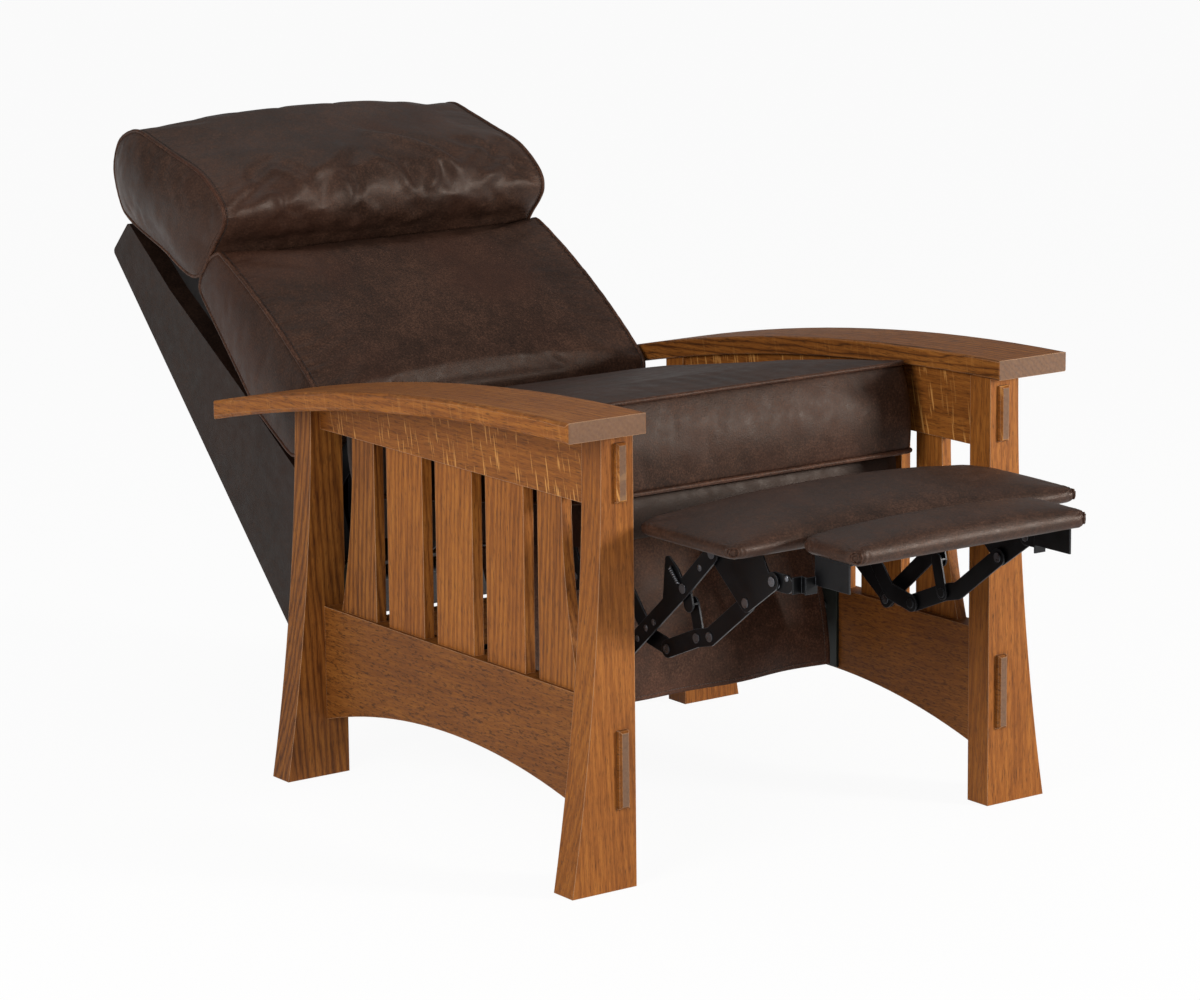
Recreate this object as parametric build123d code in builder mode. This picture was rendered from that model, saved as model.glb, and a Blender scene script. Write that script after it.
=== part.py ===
from build123d import *
import math
import os

# Mission reclining armchair, stored fully reclined with its footrest out.
# Millimetres. +Z up, the chair's front is -Y, the sitter's right is -X, the floor is z = 0.
MM = 1.0

# Height of the seat's front edge; each drop below is measured down from it
seat_height = 484 * MM

# Oak sides
frame_front = -528 * MM
side_length = 741 * MM
leg_inner = 300 * MM
leg_thick = 42 * MM
leg_top_width = 50 * MM
leg_foot_width = 102 * MM
leg_flare_drop = 29 * MM
arm_inner = 295 * MM
arm_width = 123 * MM
arm_thick = 27 * MM
arm_crest_height = 629 * MM
arm_front_overhang = 23 * MM
arm_rear_overhang = 114 * MM
arm_bow_radius = 3886 * MM
arm_edge_round = 5 * MM
rail_setback = 5 * MM
rail_thick = 30.6 * MM
top_rail_drop = 126 * MM
bottom_rail_top = 247 * MM
arch_spring = 82 * MM
arch_rise = 47 * MM
wood_fit = 0.2 * MM
eased_edge = 2 * MM

# Through tenons of the rails, proud of the front legs
tenon_thick = 16 * MM
tenon_setback = 8.5 * MM
upper_tenon_drop = 116 * MM
upper_tenon_height = 77 * MM
lower_tenon_bottom = 109 * MM
lower_tenon_height = 104 * MM
tenon_proud = 8 * MM
tenon_chamfer = 3 * MM
stub_tenon_depth = 24 * MM
rear_stub_drop = 121 * MM
rear_stub_height = 18 * MM

# Slats
slat_thick = 16 * MM
slat_setback = 5.6 * MM
slat_width = 89 * MM
slat_pitch = 121.5 * MM
slat_middle = -157 * MM
slat_stub_depth = 8 * MM
slat_stub_thick = 9 * MM
slat_shoulder = 10 * MM
end_slat_top_width = 55 * MM
end_slat_foot_width = 91 * MM

# Cross members of the frame
stretcher_thick = 24 * MM
stretcher_bottom = 110 * MM
stretcher_height = 100 * MM
stretcher_stub_depth = 10 * MM
cross_rail_y = -40 * MM
cross_rail_bottom = 140 * MM
cross_rail_height = 62 * MM

# Steel base plates inside the bottom rails
base_plate_thick = 4.5 * MM
base_plate_front = -194 * MM
base_plate_length = 358 * MM
base_plate_bottom = 131 * MM
base_plate_height = 114 * MM
tilt_axis_y = 142 * MM
tilt_axis_drop = 194 * MM
tilt_ear_radius = 24 * MM
base_tube_y = 60 * MM
base_tube_z = 170 * MM
base_tube_radius = 12.5 * MM
base_tube_wall = 2 * MM
screw_radius = 3 * MM
screw_head_radius = 6 * MM
screw_head_height = 2.5 * MM
screw_length = 20 * MM
screw_end_inset = 30 * MM
screw_edge_inset = 26 * MM

# Running fits and clearances
pin_clearance = 0.05 * MM
face_clearance = 0.3 * MM
plate_clearance = 0.5 * MM
soft_clearance = 0.3 * MM
overrun = 50 * MM

# Seat, in its own tilted plane that starts at the cushion's lower front edge
seat_front = -393 * MM
seat_rest_tilt = 8.5
seat_half_width = 287 * MM
seat_length = 581 * MM
seat_thick = 122 * MM
seat_crown = 20 * MM
seat_side_crown = 6 * MM
seat_bulge = 14 * MM
deck_half_width = 265 * MM
deck_rail_thick = 34 * MM
deck_depth = 56 * MM
deck_front = 30 * MM
deck_length = 520 * MM
seat_spring_wire = 2 * MM
seat_spring_count = 5
seat_spring_pitch = 88 * MM
seat_spring_half_wave = 18 * MM
seat_spring_turns = 11
clip_width = 22 * MM
clip_length = 24 * MM
clip_thick = 1.5 * MM
tube_radius = 11 * MM
tube_wall = 2 * MM
seat_tube_y = 60 * MM
seat_tube_drop = 132 * MM
batten_depth = 22 * MM
batten_height = 18 * MM

# Back, in its own plane that starts at the foot of the shell's rear face
back_foot_y = 351 * MM
back_foot_drop = 311 * MM
back_lean = 44.7
back_half_width = 285 * MM
shell_length = 703 * MM
shell_skin = 9 * MM
shell_side = 31 * MM
shell_round = 7 * MM
shell_top_depth = 70 * MM
shell_upper_depth = 94 * MM
shell_middle_depth = 150 * MM
shell_lower_depth = 196 * MM
shell_foot_depth = 150 * MM
shell_upper_place = 554 * MM
shell_middle_place = 328 * MM
shell_lower_place = 120 * MM
back_board_end = 12 * MM
back_rail_height = 42 * MM
back_rail_thick = 28 * MM
back_axis_y = 252 * MM
back_axis_drop = 34 * MM
back_pin_radius = 6 * MM
back_bracket_width = 36 * MM
back_spring_wire = 2 * MM
back_spring_count = 4
back_spring_pitch = 104 * MM
back_spring_turns = 9

# Back cushion: places along the back and depths in front of the shell's rear face
back_cushion_foot = 172 * MM
back_cushion_roll = 24 * MM
back_cushion_top = 505 * MM
back_cushion_top_roll = 11 * MM
back_cushion_rear = 162 * MM
back_cushion_heel = 280 * MM
back_cushion_heel_depth = 192 * MM
back_cushion_foot_depth = 322 * MM
back_cushion_top_depth = 238 * MM
back_cushion_arch = 18 * MM
back_cushion_crown = 14 * MM

# Headrest pillow: places past the shell's upper end, rises from the pillow's foot, and depths
pillow_foot_depth = 167 * MM
pillow_heel_reach = 1 * MM
pillow_heel_depth = 76 * MM
pillow_crest_rear_reach = 39 * MM
pillow_top_reach = 101 * MM
pillow_top_depth = 135 * MM
pillow_crest_front_reach = 74 * MM
pillow_crest_front_depth = 198 * MM
pillow_shoulder_rise = 101 * MM
pillow_shoulder_depth = 297 * MM
pillow_nose_rise = 49 * MM
pillow_nose_depth = 311 * MM
pillow_lip_rise = 8 * MM
pillow_lip_depth = 305 * MM
pillow_lip_under = 287 * MM
pillow_tuck_depth = 246 * MM
pillow_puff = 18 * MM

# Leather apron behind the linkage
apron_top_y = -140 * MM
apron_top_drop = 104 * MM
apron_waist_y = -189 * MM
apron_waist_drop = 241 * MM
apron_hem_y = -203 * MM
apron_hem_drop = 341 * MM
apron_half_width = 279 * MM
apron_thick = 3 * MM
apron_fold = 7 * MM
apron_fold_count = 4
apron_top_share = 1 / 8
apron_waist_share = 1 / 2

# Linkage: each place is along Y and down from the seat's front edge
link_thick = 2.5 * MM
link_pitch = 4.5 * MM
side_plate_outer = 228.5 * MM
link_width = 24 * MM
rivet_radius = 4 * MM
rivet_head_radius = 6.5 * MM
rivet_head_height = 1.4 * MM
drive_place = (-295 * MM, 125 * MM)
rear_place = (-352 * MM, 91 * MM)
knuckle_place = (-406 * MM, 200 * MM)
lift_top_place = (-586 * MM, 43 * MM)
lift_middle_place = (-524 * MM, 100 * MM)
bracket_low_place = (-651 * MM, 96 * MM)
lower_link_bend_place = (-569 * MM, 157 * MM)
knee_place = (-541 * MM, 164 * MM)
low_end_place = (-476 * MM, 191 * MM)
rear_link_bend_place = (-430 * MM, 182 * MM)
flip_axis_place = (-706 * MM, 58 * MM)
lift_ear_front_place = (-510 * MM, 80 * MM)
lift_ear_rear_place = (-492 * MM, 68 * MM)
lift_ear_foot_place = (-486 * MM, 124 * MM)
lift_ear_width = 12 * MM
cross_link_jog = 22 * MM
coil_radius = 2.0 * MM
coil_wire = 0.7 * MM
coil_turns = 18
coil_pitch = 1.6 * MM

# Footrest
pad_under_drop = 20 * MM
board_thick = 12 * MM
main_front = -724 * MM
main_depth = 206 * MM
main_half_width = 292 * MM
main_thick = 20 * MM
main_crown = 26 * MM
flip_front = -848 * MM
flip_depth = 112 * MM
flip_half_width = 195 * MM
flip_thick = 22 * MM
flip_crown = 16 * MM
board_inset = 14 * MM
pad_bulge = 9 * MM
pad_end_share = 0.45
flange_width = 18 * MM
flip_plate_x = 184 * MM
flip_step_x = 197 * MM
flip_plate_front = -822 * MM
flip_plate_rear = -764 * MM
flip_plate_height = 38 * MM

# Values worked out from the sizes above
tilt_axis_z = seat_height - tilt_axis_drop
seat_tube_z = seat_height - seat_tube_drop
back_foot_z = seat_height - back_foot_drop
back_axis_z = seat_height - back_axis_drop
apron_top_z = seat_height - apron_top_drop
apron_waist_z = seat_height - apron_waist_drop
apron_hem_z = seat_height - apron_hem_drop
pad_under = seat_height - pad_under_drop
leg_flare_height = arm_crest_height - leg_flare_drop
top_rail_bottom = arm_crest_height - top_rail_drop
upper_tenon_bottom = arm_crest_height - upper_tenon_drop
rear_stub_bottom = arm_crest_height - rear_stub_drop
pillow_foot = back_cushion_top + back_cushion_top_roll + soft_clearance
pillow_lip = pillow_foot + pillow_lip_rise
pillow_nose = pillow_foot + pillow_nose_rise
pillow_shoulder = pillow_foot + pillow_shoulder_rise
pillow_heel = shell_length + pillow_heel_reach
pillow_crest_rear = shell_length + pillow_crest_rear_reach
pillow_crest_front = shell_length + pillow_crest_front_reach
pillow_top = shell_length + pillow_top_reach
leg_front_back = frame_front + leg_thick
rear_leg_back = frame_front + side_length
rear_leg_front = rear_leg_back - leg_thick
rail_length = rear_leg_front - leg_front_back
rail_middle = (rear_leg_front + leg_front_back) / 2
arm_front = frame_front - arm_front_overhang
arm_rear = rear_leg_back + arm_rear_overhang
rail_inner = leg_inner + rail_setback
rail_outer = rail_inner + rail_thick
slat_outer = rail_outer - slat_setback
slat_inner = slat_outer - slat_thick
tenon_inner = rail_inner + tenon_setback
base_plate_outer = rail_inner
base_plate_inner = base_plate_outer - base_plate_thick
side_plate_inner = side_plate_outer - link_thick


def under_seat(place):
    return (place[0], seat_height - place[1])


drive_pivot = under_seat(drive_place)
rear_pivot = under_seat(rear_place)
knuckle = under_seat(knuckle_place)
lift_top = under_seat(lift_top_place)
lift_middle = under_seat(lift_middle_place)
bracket_low = under_seat(bracket_low_place)
lower_link_bend = under_seat(lower_link_bend_place)
knee = under_seat(knee_place)
low_end = under_seat(low_end_place)
rear_link_bend = under_seat(rear_link_bend_place)
flip_axis = under_seat(flip_axis_place)
lift_ear_front = under_seat(lift_ear_front_place)
lift_ear_rear = under_seat(lift_ear_rear_place)
lift_ear_foot = under_seat(lift_ear_foot_place)


def side_plane(x):
    return Plane(origin=(x, 0, 0), x_dir=(0, 1, 0), z_dir=(1, 0, 0))


def across_plane(y):
    return Plane(origin=(0, y, 0), x_dir=(1, 0, 0), z_dir=(0, -1, 0))


def seat_plane(x):
    tilt = math.radians(seat_rest_tilt)
    return Plane(origin=(x, seat_front, seat_height),
                 x_dir=(0, math.cos(tilt), -math.sin(tilt)), z_dir=(1, 0, 0))


def back_plane(x):
    lean = math.radians(back_lean)
    return Plane(origin=(x, back_foot_y, back_foot_z),
                 x_dir=(0, math.sin(lean), math.cos(lean)), z_dir=(1, 0, 0))


def link_outer(place):
    """Outer face of the link plane that lies this many places inside the seat's side plate."""
    return side_plate_outer - place * link_pitch


def hand_in(name, builder):
    builder.part.label = name
    export_step(builder.part, f"parts/{name}.step")


def hand_in_pair(name, builder):
    hand_in("left_" + name, builder)
    with BuildPart() as mirrored:
        mirror(builder.part, about=Plane.YZ)
    hand_in("right_" + name, mirrored)


def bar(points, width):
    """A flat bar with round ends along the points, added to the open sketch."""
    for start, end in zip(points, points[1:]):
        run = (end[0] - start[0], end[1] - start[1])
        with Locations(((start[0] + end[0]) / 2, (start[1] + end[1]) / 2)):
            SlotCenterToCenter(math.hypot(*run), width, rotation=math.degrees(math.atan2(run[1], run[0])))


def pivot_holes(pivots, radius):
    for pivot in pivots:
        with Locations(pivot):
            Circle(radius, mode=Mode.SUBTRACT)


def disc(pivot, inner, outer, radius, mode=Mode.ADD):
    """A round piece on a pivot, from the inner to the outer distance from the chair's middle."""
    with BuildSketch(side_plane(inner)) as outline:
        with Locations(pivot):
            Circle(radius)
    extrude(outline.sketch, amount=outer - inner, mode=mode)


def rivet(pivot, inner, outer):
    """A rivet through the plates between two faces, with a low head on each."""
    disc(pivot, inner, outer, rivet_radius)
    disc(pivot, inner - rivet_head_height, inner, rivet_head_radius)
    disc(pivot, outer, outer + rivet_head_height, rivet_head_radius)


def arm_top(y):
    return arm_crest_height - (y - arm_front) ** 2 / (2 * arm_bow_radius)


def arm_profile(drop):
    """The arm's bowed line, this far under its top, from before its front end to behind its rear."""
    reach = (arm_front, (arm_front + arm_rear) / 2, arm_rear)
    return [(y, arm_top(y) - drop) for y in reach]


def cut_under_arm():
    """Everything above the arm's underside is taken off the open part."""
    start, middle, end = arm_profile(arm_thick)
    with BuildSketch(side_plane(arm_inner - overrun)) as above:
        with BuildLine():
            ThreePointArc(start, middle, end)
            Polyline(end, (end[0], arm_crest_height + overrun), (start[0], arm_crest_height + overrun), start)
        make_face()
    extrude(above.sketch, amount=arm_width + 2 * overrun, mode=Mode.SUBTRACT)


def tenon_box(front, rear, bottom, height, growth, mode):
    """A rail's tenon along Y, or its mortise when it grows by the wood fit."""
    with BuildSketch(side_plane(tenon_inner - growth)) as tenon:
        with Locations(((front + rear) / 2, bottom + height / 2)):
            Rectangle(rear - front, height + 2 * growth)
    extrude(tenon.sketch, amount=tenon_thick + 2 * growth, mode=mode)


def front_tenons(growth, mode):
    front = frame_front - tenon_proud if mode == Mode.ADD else frame_front - overrun
    tenon_box(front, leg_front_back, upper_tenon_bottom, upper_tenon_height, growth, mode)
    tenon_box(front, leg_front_back, lower_tenon_bottom, lower_tenon_height, growth, mode)


def leg(front):
    with BuildSketch(across_plane(front)) as outline:
        with BuildLine():
            top = (leg_inner + leg_top_width, leg_flare_height)
            foot = (leg_inner + leg_foot_width, 0)
            TangentArc(top, foot, tangent=(0, -1))
            Polyline(foot, (leg_inner, 0), (leg_inner, arm_crest_height), (top[0], arm_crest_height), top)
        make_face()
    extrude(outline.sketch, amount=-leg_thick)


os.makedirs("parts", exist_ok=True)

# Arms
with BuildPart() as arm:
    with BuildSketch(side_plane(arm_inner)):
        with BuildLine():
            upper = arm_profile(0)
            lower = arm_profile(arm_thick)
            ThreePointArc(*upper)
            Line(upper[2], lower[2])
            ThreePointArc(*lower)
            Line(lower[0], upper[0])
        make_face()
    extrude(amount=arm_width)
    fillet(arm.faces().sort_by(Axis.X)[-1].edges(), arm_edge_round)
    fillet(arm.faces().sort_by(Axis.X)[0].edges(), eased_edge)
hand_in_pair("arm", arm)

# Legs
with BuildPart() as front_leg:
    leg(frame_front)
    cut_under_arm()
    front_tenons(wood_fit, Mode.SUBTRACT)
hand_in_pair("front_leg", front_leg)

with BuildPart() as rear_leg:
    leg(rear_leg_front)
    cut_under_arm()
    for bottom, height in ((rear_stub_bottom, rear_stub_height), (lower_tenon_bottom, lower_tenon_height)):
        tenon_box(rear_leg_front, rear_leg_front + stub_tenon_depth + wood_fit, bottom, height,
                  wood_fit, Mode.SUBTRACT)
    with BuildSketch(side_plane(leg_inner)):
        with Locations((rear_leg_front + leg_thick / 2, stretcher_bottom + stretcher_height / 2)):
            Rectangle(stretcher_thick / 2 + 2 * wood_fit, stretcher_height / 2 + 2 * wood_fit)
    extrude(amount=stretcher_stub_depth + wood_fit, mode=Mode.SUBTRACT)
hand_in_pair("rear_leg", rear_leg)


def slat_places():
    return [slat_middle + step * slat_pitch for step in (-1, 0, 1)]


def end_slat_places():
    """Straight edge and direction of the flare of the two end slats, front one first."""
    reach = 2 * slat_pitch - slat_width / 2
    return ((slat_middle - reach, -1), (slat_middle + reach, 1))


def slat_stub(centre, width, seat, depth, growth, mode):
    with BuildSketch(Plane.XY.offset(seat)) as stub:
        with Locations(((slat_inner + slat_outer) / 2, centre)):
            Rectangle(slat_stub_thick + 2 * growth, width - 2 * slat_shoulder + 2 * growth)
    extrude(stub.sketch, amount=depth, mode=mode)


def slat_mortises(seat, depth, end_width):
    for centre in slat_places():
        slat_stub(centre, slat_width, seat, depth, wood_fit, Mode.SUBTRACT)
    for edge, way in end_slat_places():
        slat_stub(edge + way * end_width / 2, end_width, seat, depth, wood_fit, Mode.SUBTRACT)


def plate_screws():
    """Places of the four screws that hold a base plate to its rail."""
    ends = (base_plate_front + screw_end_inset, base_plate_front + base_plate_length - screw_end_inset)
    edges = (base_plate_bottom + screw_edge_inset, base_plate_bottom + base_plate_height - screw_edge_inset)
    return [(end, edge) for end in ends for edge in edges]


# Rails
with BuildPart() as top_rail:
    with BuildSketch(side_plane(rail_inner)):
        with Locations((rail_middle, top_rail_bottom)):
            Rectangle(rail_length, arm_crest_height - top_rail_bottom, align=(Align.CENTER, Align.MIN))
    extrude(amount=rail_thick)
    cut_under_arm()
    tenon_box(frame_front - tenon_proud, leg_front_back, upper_tenon_bottom, upper_tenon_height, 0, Mode.ADD)
    tenon_box(rear_leg_front, rear_leg_front + stub_tenon_depth, rear_stub_bottom, rear_stub_height,
              0, Mode.ADD)
    chamfer(top_rail.faces().sort_by(Axis.Y)[0].edges(), tenon_chamfer)
    slat_mortises(top_rail_bottom, slat_stub_depth + wood_fit, end_slat_top_width)
hand_in_pair("top_rail", top_rail)

with BuildPart() as bottom_rail:
    with BuildSketch(side_plane(rail_inner)):
        with BuildLine():
            ThreePointArc((leg_front_back, arch_spring), (rail_middle, arch_spring + arch_rise),
                          (rear_leg_front, arch_spring))
            Polyline((rear_leg_front, arch_spring), (rear_leg_front, bottom_rail_top),
                     (leg_front_back, bottom_rail_top), (leg_front_back, arch_spring))
        make_face()
    extrude(amount=rail_thick)
    tenon_box(frame_front - tenon_proud, leg_front_back, lower_tenon_bottom, lower_tenon_height, 0, Mode.ADD)
    tenon_box(rear_leg_front, rear_leg_front + stub_tenon_depth, lower_tenon_bottom, lower_tenon_height,
              0, Mode.ADD)
    chamfer(bottom_rail.faces().sort_by(Axis.Y)[0].edges(), tenon_chamfer)
    slat_mortises(bottom_rail_top, -slat_stub_depth - wood_fit, end_slat_foot_width)
    for place in plate_screws():
        disc(place, rail_inner, rail_inner + screw_length, screw_radius, Mode.SUBTRACT)
hand_in_pair("bottom_rail", bottom_rail)

# Slats
with BuildPart() as middle_slats:
    for centre in slat_places():
        with BuildSketch(side_plane(slat_inner)):
            with Locations((centre, bottom_rail_top)):
                Rectangle(slat_width, top_rail_bottom - bottom_rail_top, align=(Align.CENTER, Align.MIN))
        extrude(amount=slat_thick)
        slat_stub(centre, slat_width, top_rail_bottom, slat_stub_depth, 0, Mode.ADD)
        slat_stub(centre, slat_width, bottom_rail_top, -slat_stub_depth, 0, Mode.ADD)
hand_in_pair("middle_slats", middle_slats)

for name, (edge, way) in zip(("front_slat", "rear_slat"), end_slat_places()):
    with BuildPart() as end_slat:
        with BuildSketch(side_plane(slat_inner)):
            with BuildLine():
                top = (edge + way * end_slat_top_width, top_rail_bottom)
                foot = (edge + way * end_slat_foot_width, bottom_rail_top)
                TangentArc(top, foot, tangent=(0, -1))
                Polyline(foot, (edge, bottom_rail_top), (edge, top_rail_bottom), top)
            make_face()
        extrude(amount=slat_thick)
        slat_stub(edge + way * end_slat_top_width / 2, end_slat_top_width, top_rail_bottom, slat_stub_depth,
                  0, Mode.ADD)
        slat_stub(edge + way * end_slat_foot_width / 2, end_slat_foot_width, bottom_rail_top,
                  -slat_stub_depth, 0, Mode.ADD)
    hand_in_pair(name, end_slat)

# Cross members
with BuildPart() as rear_stretcher:
    middle = rear_leg_front + leg_thick / 2
    with BuildSketch(side_plane(-leg_inner)):
        with Locations((middle, stretcher_bottom + stretcher_height / 2)):
            Rectangle(stretcher_thick, stretcher_height)
    extrude(amount=2 * leg_inner)
    with BuildSketch(side_plane(-leg_inner - stretcher_stub_depth)):
        with Locations((middle, stretcher_bottom + stretcher_height / 2)):
            Rectangle(stretcher_thick / 2, stretcher_height / 2)
    extrude(amount=2 * (leg_inner + stretcher_stub_depth))
hand_in("rear_stretcher", rear_stretcher)

with BuildPart() as cross_rail:
    with BuildSketch(side_plane(-base_plate_inner)):
        with Locations((cross_rail_y, cross_rail_bottom + cross_rail_height / 2)):
            Rectangle(stretcher_thick, cross_rail_height)
    extrude(amount=2 * base_plate_inner)
hand_in("cross_rail", cross_rail)


# Steel base
with BuildPart() as base_plate:
    with BuildSketch(side_plane(base_plate_inner)):
        with Locations((base_plate_front + base_plate_length / 2, base_plate_bottom + base_plate_height / 2)):
            Rectangle(base_plate_length, base_plate_height)
        tilt_axis = (tilt_axis_y, tilt_axis_z)
        bar([tilt_axis, (tilt_axis_y, base_plate_bottom + tilt_ear_radius)], 2 * tilt_ear_radius)
        pivot_holes([tilt_axis], tube_radius + pin_clearance)
        pivot_holes(plate_screws(), screw_radius)
    extrude(amount=base_plate_thick)
hand_in_pair("base_plate", base_plate)

with BuildPart() as base_screws:
    for place in plate_screws():
        disc(place, base_plate_inner - screw_head_height, base_plate_inner, screw_head_radius)
        disc(place, base_plate_inner, rail_inner + screw_length - face_clearance, screw_radius)
    mirror(about=Plane.YZ)
hand_in("base_screws", base_screws)

with BuildPart() as base_tube:
    disc((base_tube_y, base_tube_z), -base_plate_inner, base_plate_inner, base_tube_radius)
    disc((base_tube_y, base_tube_z), -base_plate_inner, base_plate_inner, base_tube_radius - base_tube_wall,
         Mode.SUBTRACT)
hand_in("base_tube", base_tube)


def seat_point(along, up):
    """The side-view place of a point given along and above the seat's tilted plane."""
    tilt = math.radians(seat_rest_tilt)
    return (seat_front + along * math.cos(tilt) + up * math.sin(tilt),
            seat_height - along * math.sin(tilt) + up * math.cos(tilt))


def cushion_profile(length, thick, crown, bulge):
    """A cushion's side view: flat under, drawn out at both ends and crowned on top."""
    with BuildLine() as outline:
        Line((0, 0), (length, 0))
        ThreePointArc((length, 0), (length + bulge, thick / 2), (length, thick))
        ThreePointArc((length, thick), (length / 2, thick + crown), (0, thick))
        ThreePointArc((0, thick), (-bulge, thick / 2), (0, 0))
    return outline.line


# Seat
deck_drop = clip_thick + 2 * seat_spring_wire + soft_clearance
deck_rear = deck_front + deck_length

with BuildPart() as seat_cushion:
    for place, crown in ((-seat_half_width, seat_side_crown), (0, seat_crown),
                         (seat_half_width, seat_side_crown)):
        with BuildSketch(seat_plane(place)):
            add(cushion_profile(seat_length, seat_thick, crown, seat_bulge))
            make_face()
    loft()
hand_in("seat_cushion", seat_cushion)


def deck_piece(half_inner, half_outer, front, rear):
    """A rail of the seat's deck, given across by its inner and outer faces."""
    with BuildSketch(seat_plane(half_inner)) as section:
        with Locations(((front + rear) / 2, -deck_drop - deck_depth / 2)):
            Rectangle(rear - front, deck_depth)
    extrude(section.sketch, amount=half_outer - half_inner)


with BuildPart() as seat_front_rail:
    deck_piece(-side_plate_inner, side_plate_inner, deck_front, deck_front + deck_rail_thick)
hand_in("seat_front_rail", seat_front_rail)

with BuildPart() as seat_rear_rail:
    deck_piece(-side_plate_inner, side_plate_inner, deck_rear - deck_rail_thick, deck_rear)
hand_in("seat_rear_rail", seat_rear_rail)

with BuildPart() as seat_side_rail:
    deck_piece(side_plate_outer, deck_half_width, deck_front, deck_rear)
hand_in_pair("seat_side_rail", seat_side_rail)


def wave(start, end, half_wave, turns):
    """Corners of a flat wire that winds from side to side between its two ends."""
    step = (end - start) / (turns + 1)
    corners = [(0, start)]
    for turn in range(turns):
        side = half_wave if turn % 2 else -half_wave
        centre = start + (turn + 1) * step
        corners += [(side, centre - step / 4), (side, centre + step / 4)]
    return corners + [(0, end)]


with BuildPart() as seat_springs:
    start = deck_front + deck_rail_thick / 2
    end = deck_rear - deck_rail_thick / 2
    level = -deck_drop + clip_thick + seat_spring_wire
    for number in range(seat_spring_count):
        middle = (number - (seat_spring_count - 1) / 2) * seat_spring_pitch
        tilt = math.radians(seat_rest_tilt)
        flat = Plane(origin=(middle, *seat_point(0, level)), x_dir=(1, 0, 0),
                     z_dir=(0, math.sin(tilt), math.cos(tilt)))
        with BuildLine(flat):
            path = FilletPolyline(*wave(start, end, seat_spring_half_wave, seat_spring_turns),
                                  radius=3 * seat_spring_wire)
        with BuildSketch(Plane(origin=path @ 0, z_dir=path % 0)):
            Circle(seat_spring_wire)
        sweep(path=path)
hand_in("seat_springs", seat_springs)

with BuildPart() as spring_clips:
    for along in (deck_front + deck_rail_thick / 2, deck_rear - deck_rail_thick / 2):
        tilt = math.radians(seat_rest_tilt)
        with BuildSketch(Plane(origin=(0, *seat_point(along, -deck_drop)), x_dir=(1, 0, 0),
                               z_dir=(0, math.sin(tilt), math.cos(tilt)))):
            with GridLocations(seat_spring_pitch, clip_length, seat_spring_count, 1):
                Rectangle(clip_width, clip_length)
        extrude(amount=clip_thick)
hand_in("spring_clips", spring_clips)

with BuildPart() as seat_side_plate:
    with BuildSketch(side_plane(side_plate_inner)):
        rail_line = -deck_drop - deck_depth / 2
        back_axis = (back_axis_y, back_axis_z)
        tilt_axis = (tilt_axis_y, tilt_axis_z)
        seat_tube_place = (seat_tube_y, seat_tube_z)
        heel = seat_point(deck_rear + back_axis_y - tilt_axis_y, rail_line)
        bar([rear_pivot, drive_pivot], link_width + link_width / 3)
        bar([seat_point(deck_front + deck_rail_thick, rail_line), seat_point(deck_rear, rail_line), heel,
             back_axis], back_bracket_width)
        bar([drive_pivot, seat_point(deck_front + 3 * deck_rail_thick, rail_line)], back_bracket_width)
        bar([seat_tube_place, seat_point(deck_rear - 2 * deck_rail_thick, rail_line)], back_bracket_width)
        bar([tilt_axis, seat_point(deck_rear, rail_line)], back_bracket_width)
        pivot_holes([rear_pivot, drive_pivot], rivet_radius)
        pivot_holes([tilt_axis, seat_tube_place], tube_radius)
        pivot_holes([back_axis], back_pin_radius)
    extrude(amount=link_thick)
hand_in_pair("seat_side_plate", seat_side_plate)


def cross_tube(axis, reach):
    disc(axis, -reach, reach, tube_radius)
    disc(axis, -reach, reach, tube_radius - tube_wall, Mode.SUBTRACT)


with BuildPart() as tilt_tube:
    cross_tube((tilt_axis_y, tilt_axis_z), base_plate_outer - plate_clearance)
hand_in("tilt_tube", tilt_tube)

with BuildPart() as seat_tube:
    cross_tube((seat_tube_y, seat_tube_z), side_plate_outer)
hand_in("seat_tube", seat_tube)

with BuildPart() as apron_batten:
    with BuildSketch(side_plane(-side_plate_inner)):
        with Locations((apron_top_y + apron_thick + batten_depth / 2, apron_top_z + batten_height / 2)):
            Rectangle(batten_depth, batten_height)
    extrude(amount=2 * side_plate_inner)
hand_in("apron_batten", apron_batten)

with BuildPart() as pivot_pins:
    drive_inner = link_outer(1) - link_thick - face_clearance
    rear_inner = link_outer(5) - link_thick - face_clearance
    rivet(drive_pivot, drive_inner, side_plate_outer)
    rivet(rear_pivot, rear_inner, side_plate_outer)
    mirror(about=Plane.YZ)
hand_in("pivot_pins", pivot_pins)


def fold_edge(depth, amplitude, height):
    """The apron's cut across at one height: shallow folds between two wavy faces."""
    fold = 2 * apron_half_width / (2 * apron_fold_count)
    starts = [-apron_half_width + fold * number for number in range(2 * apron_fold_count)]
    with BuildLine(Plane.XY.offset(height)) as outline:
        for number, start in enumerate(starts):
            sway = amplitude if number % 2 else -amplitude
            for face in (0, apron_thick):
                ThreePointArc((start, depth + face), (start + fold / 2, depth + face + sway),
                              (start + fold, depth + face))
        for end in (-apron_half_width, apron_half_width):
            Line((end, depth), (end, depth + apron_thick))
    return outline.line


# Apron
with BuildPart() as front_apron:
    for depth, height, share in ((apron_top_y, apron_top_z - face_clearance, apron_top_share),
                                 (apron_waist_y, apron_waist_z, apron_waist_share),
                                 (apron_hem_y, apron_hem_z, 1)):
        with BuildSketch(Plane.XY.offset(height)):
            add(fold_edge(depth, apron_fold * share, height))
            make_face()
    loft()
hand_in("front_apron", front_apron)


def back_point(along, depth):
    """The side-view place of a point given along the back and in front of its rear face."""
    lean = math.radians(back_lean)
    return (back_foot_y + along * math.sin(lean) - depth * math.cos(lean),
            back_foot_z + along * math.cos(lean) + depth * math.sin(lean))


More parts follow.
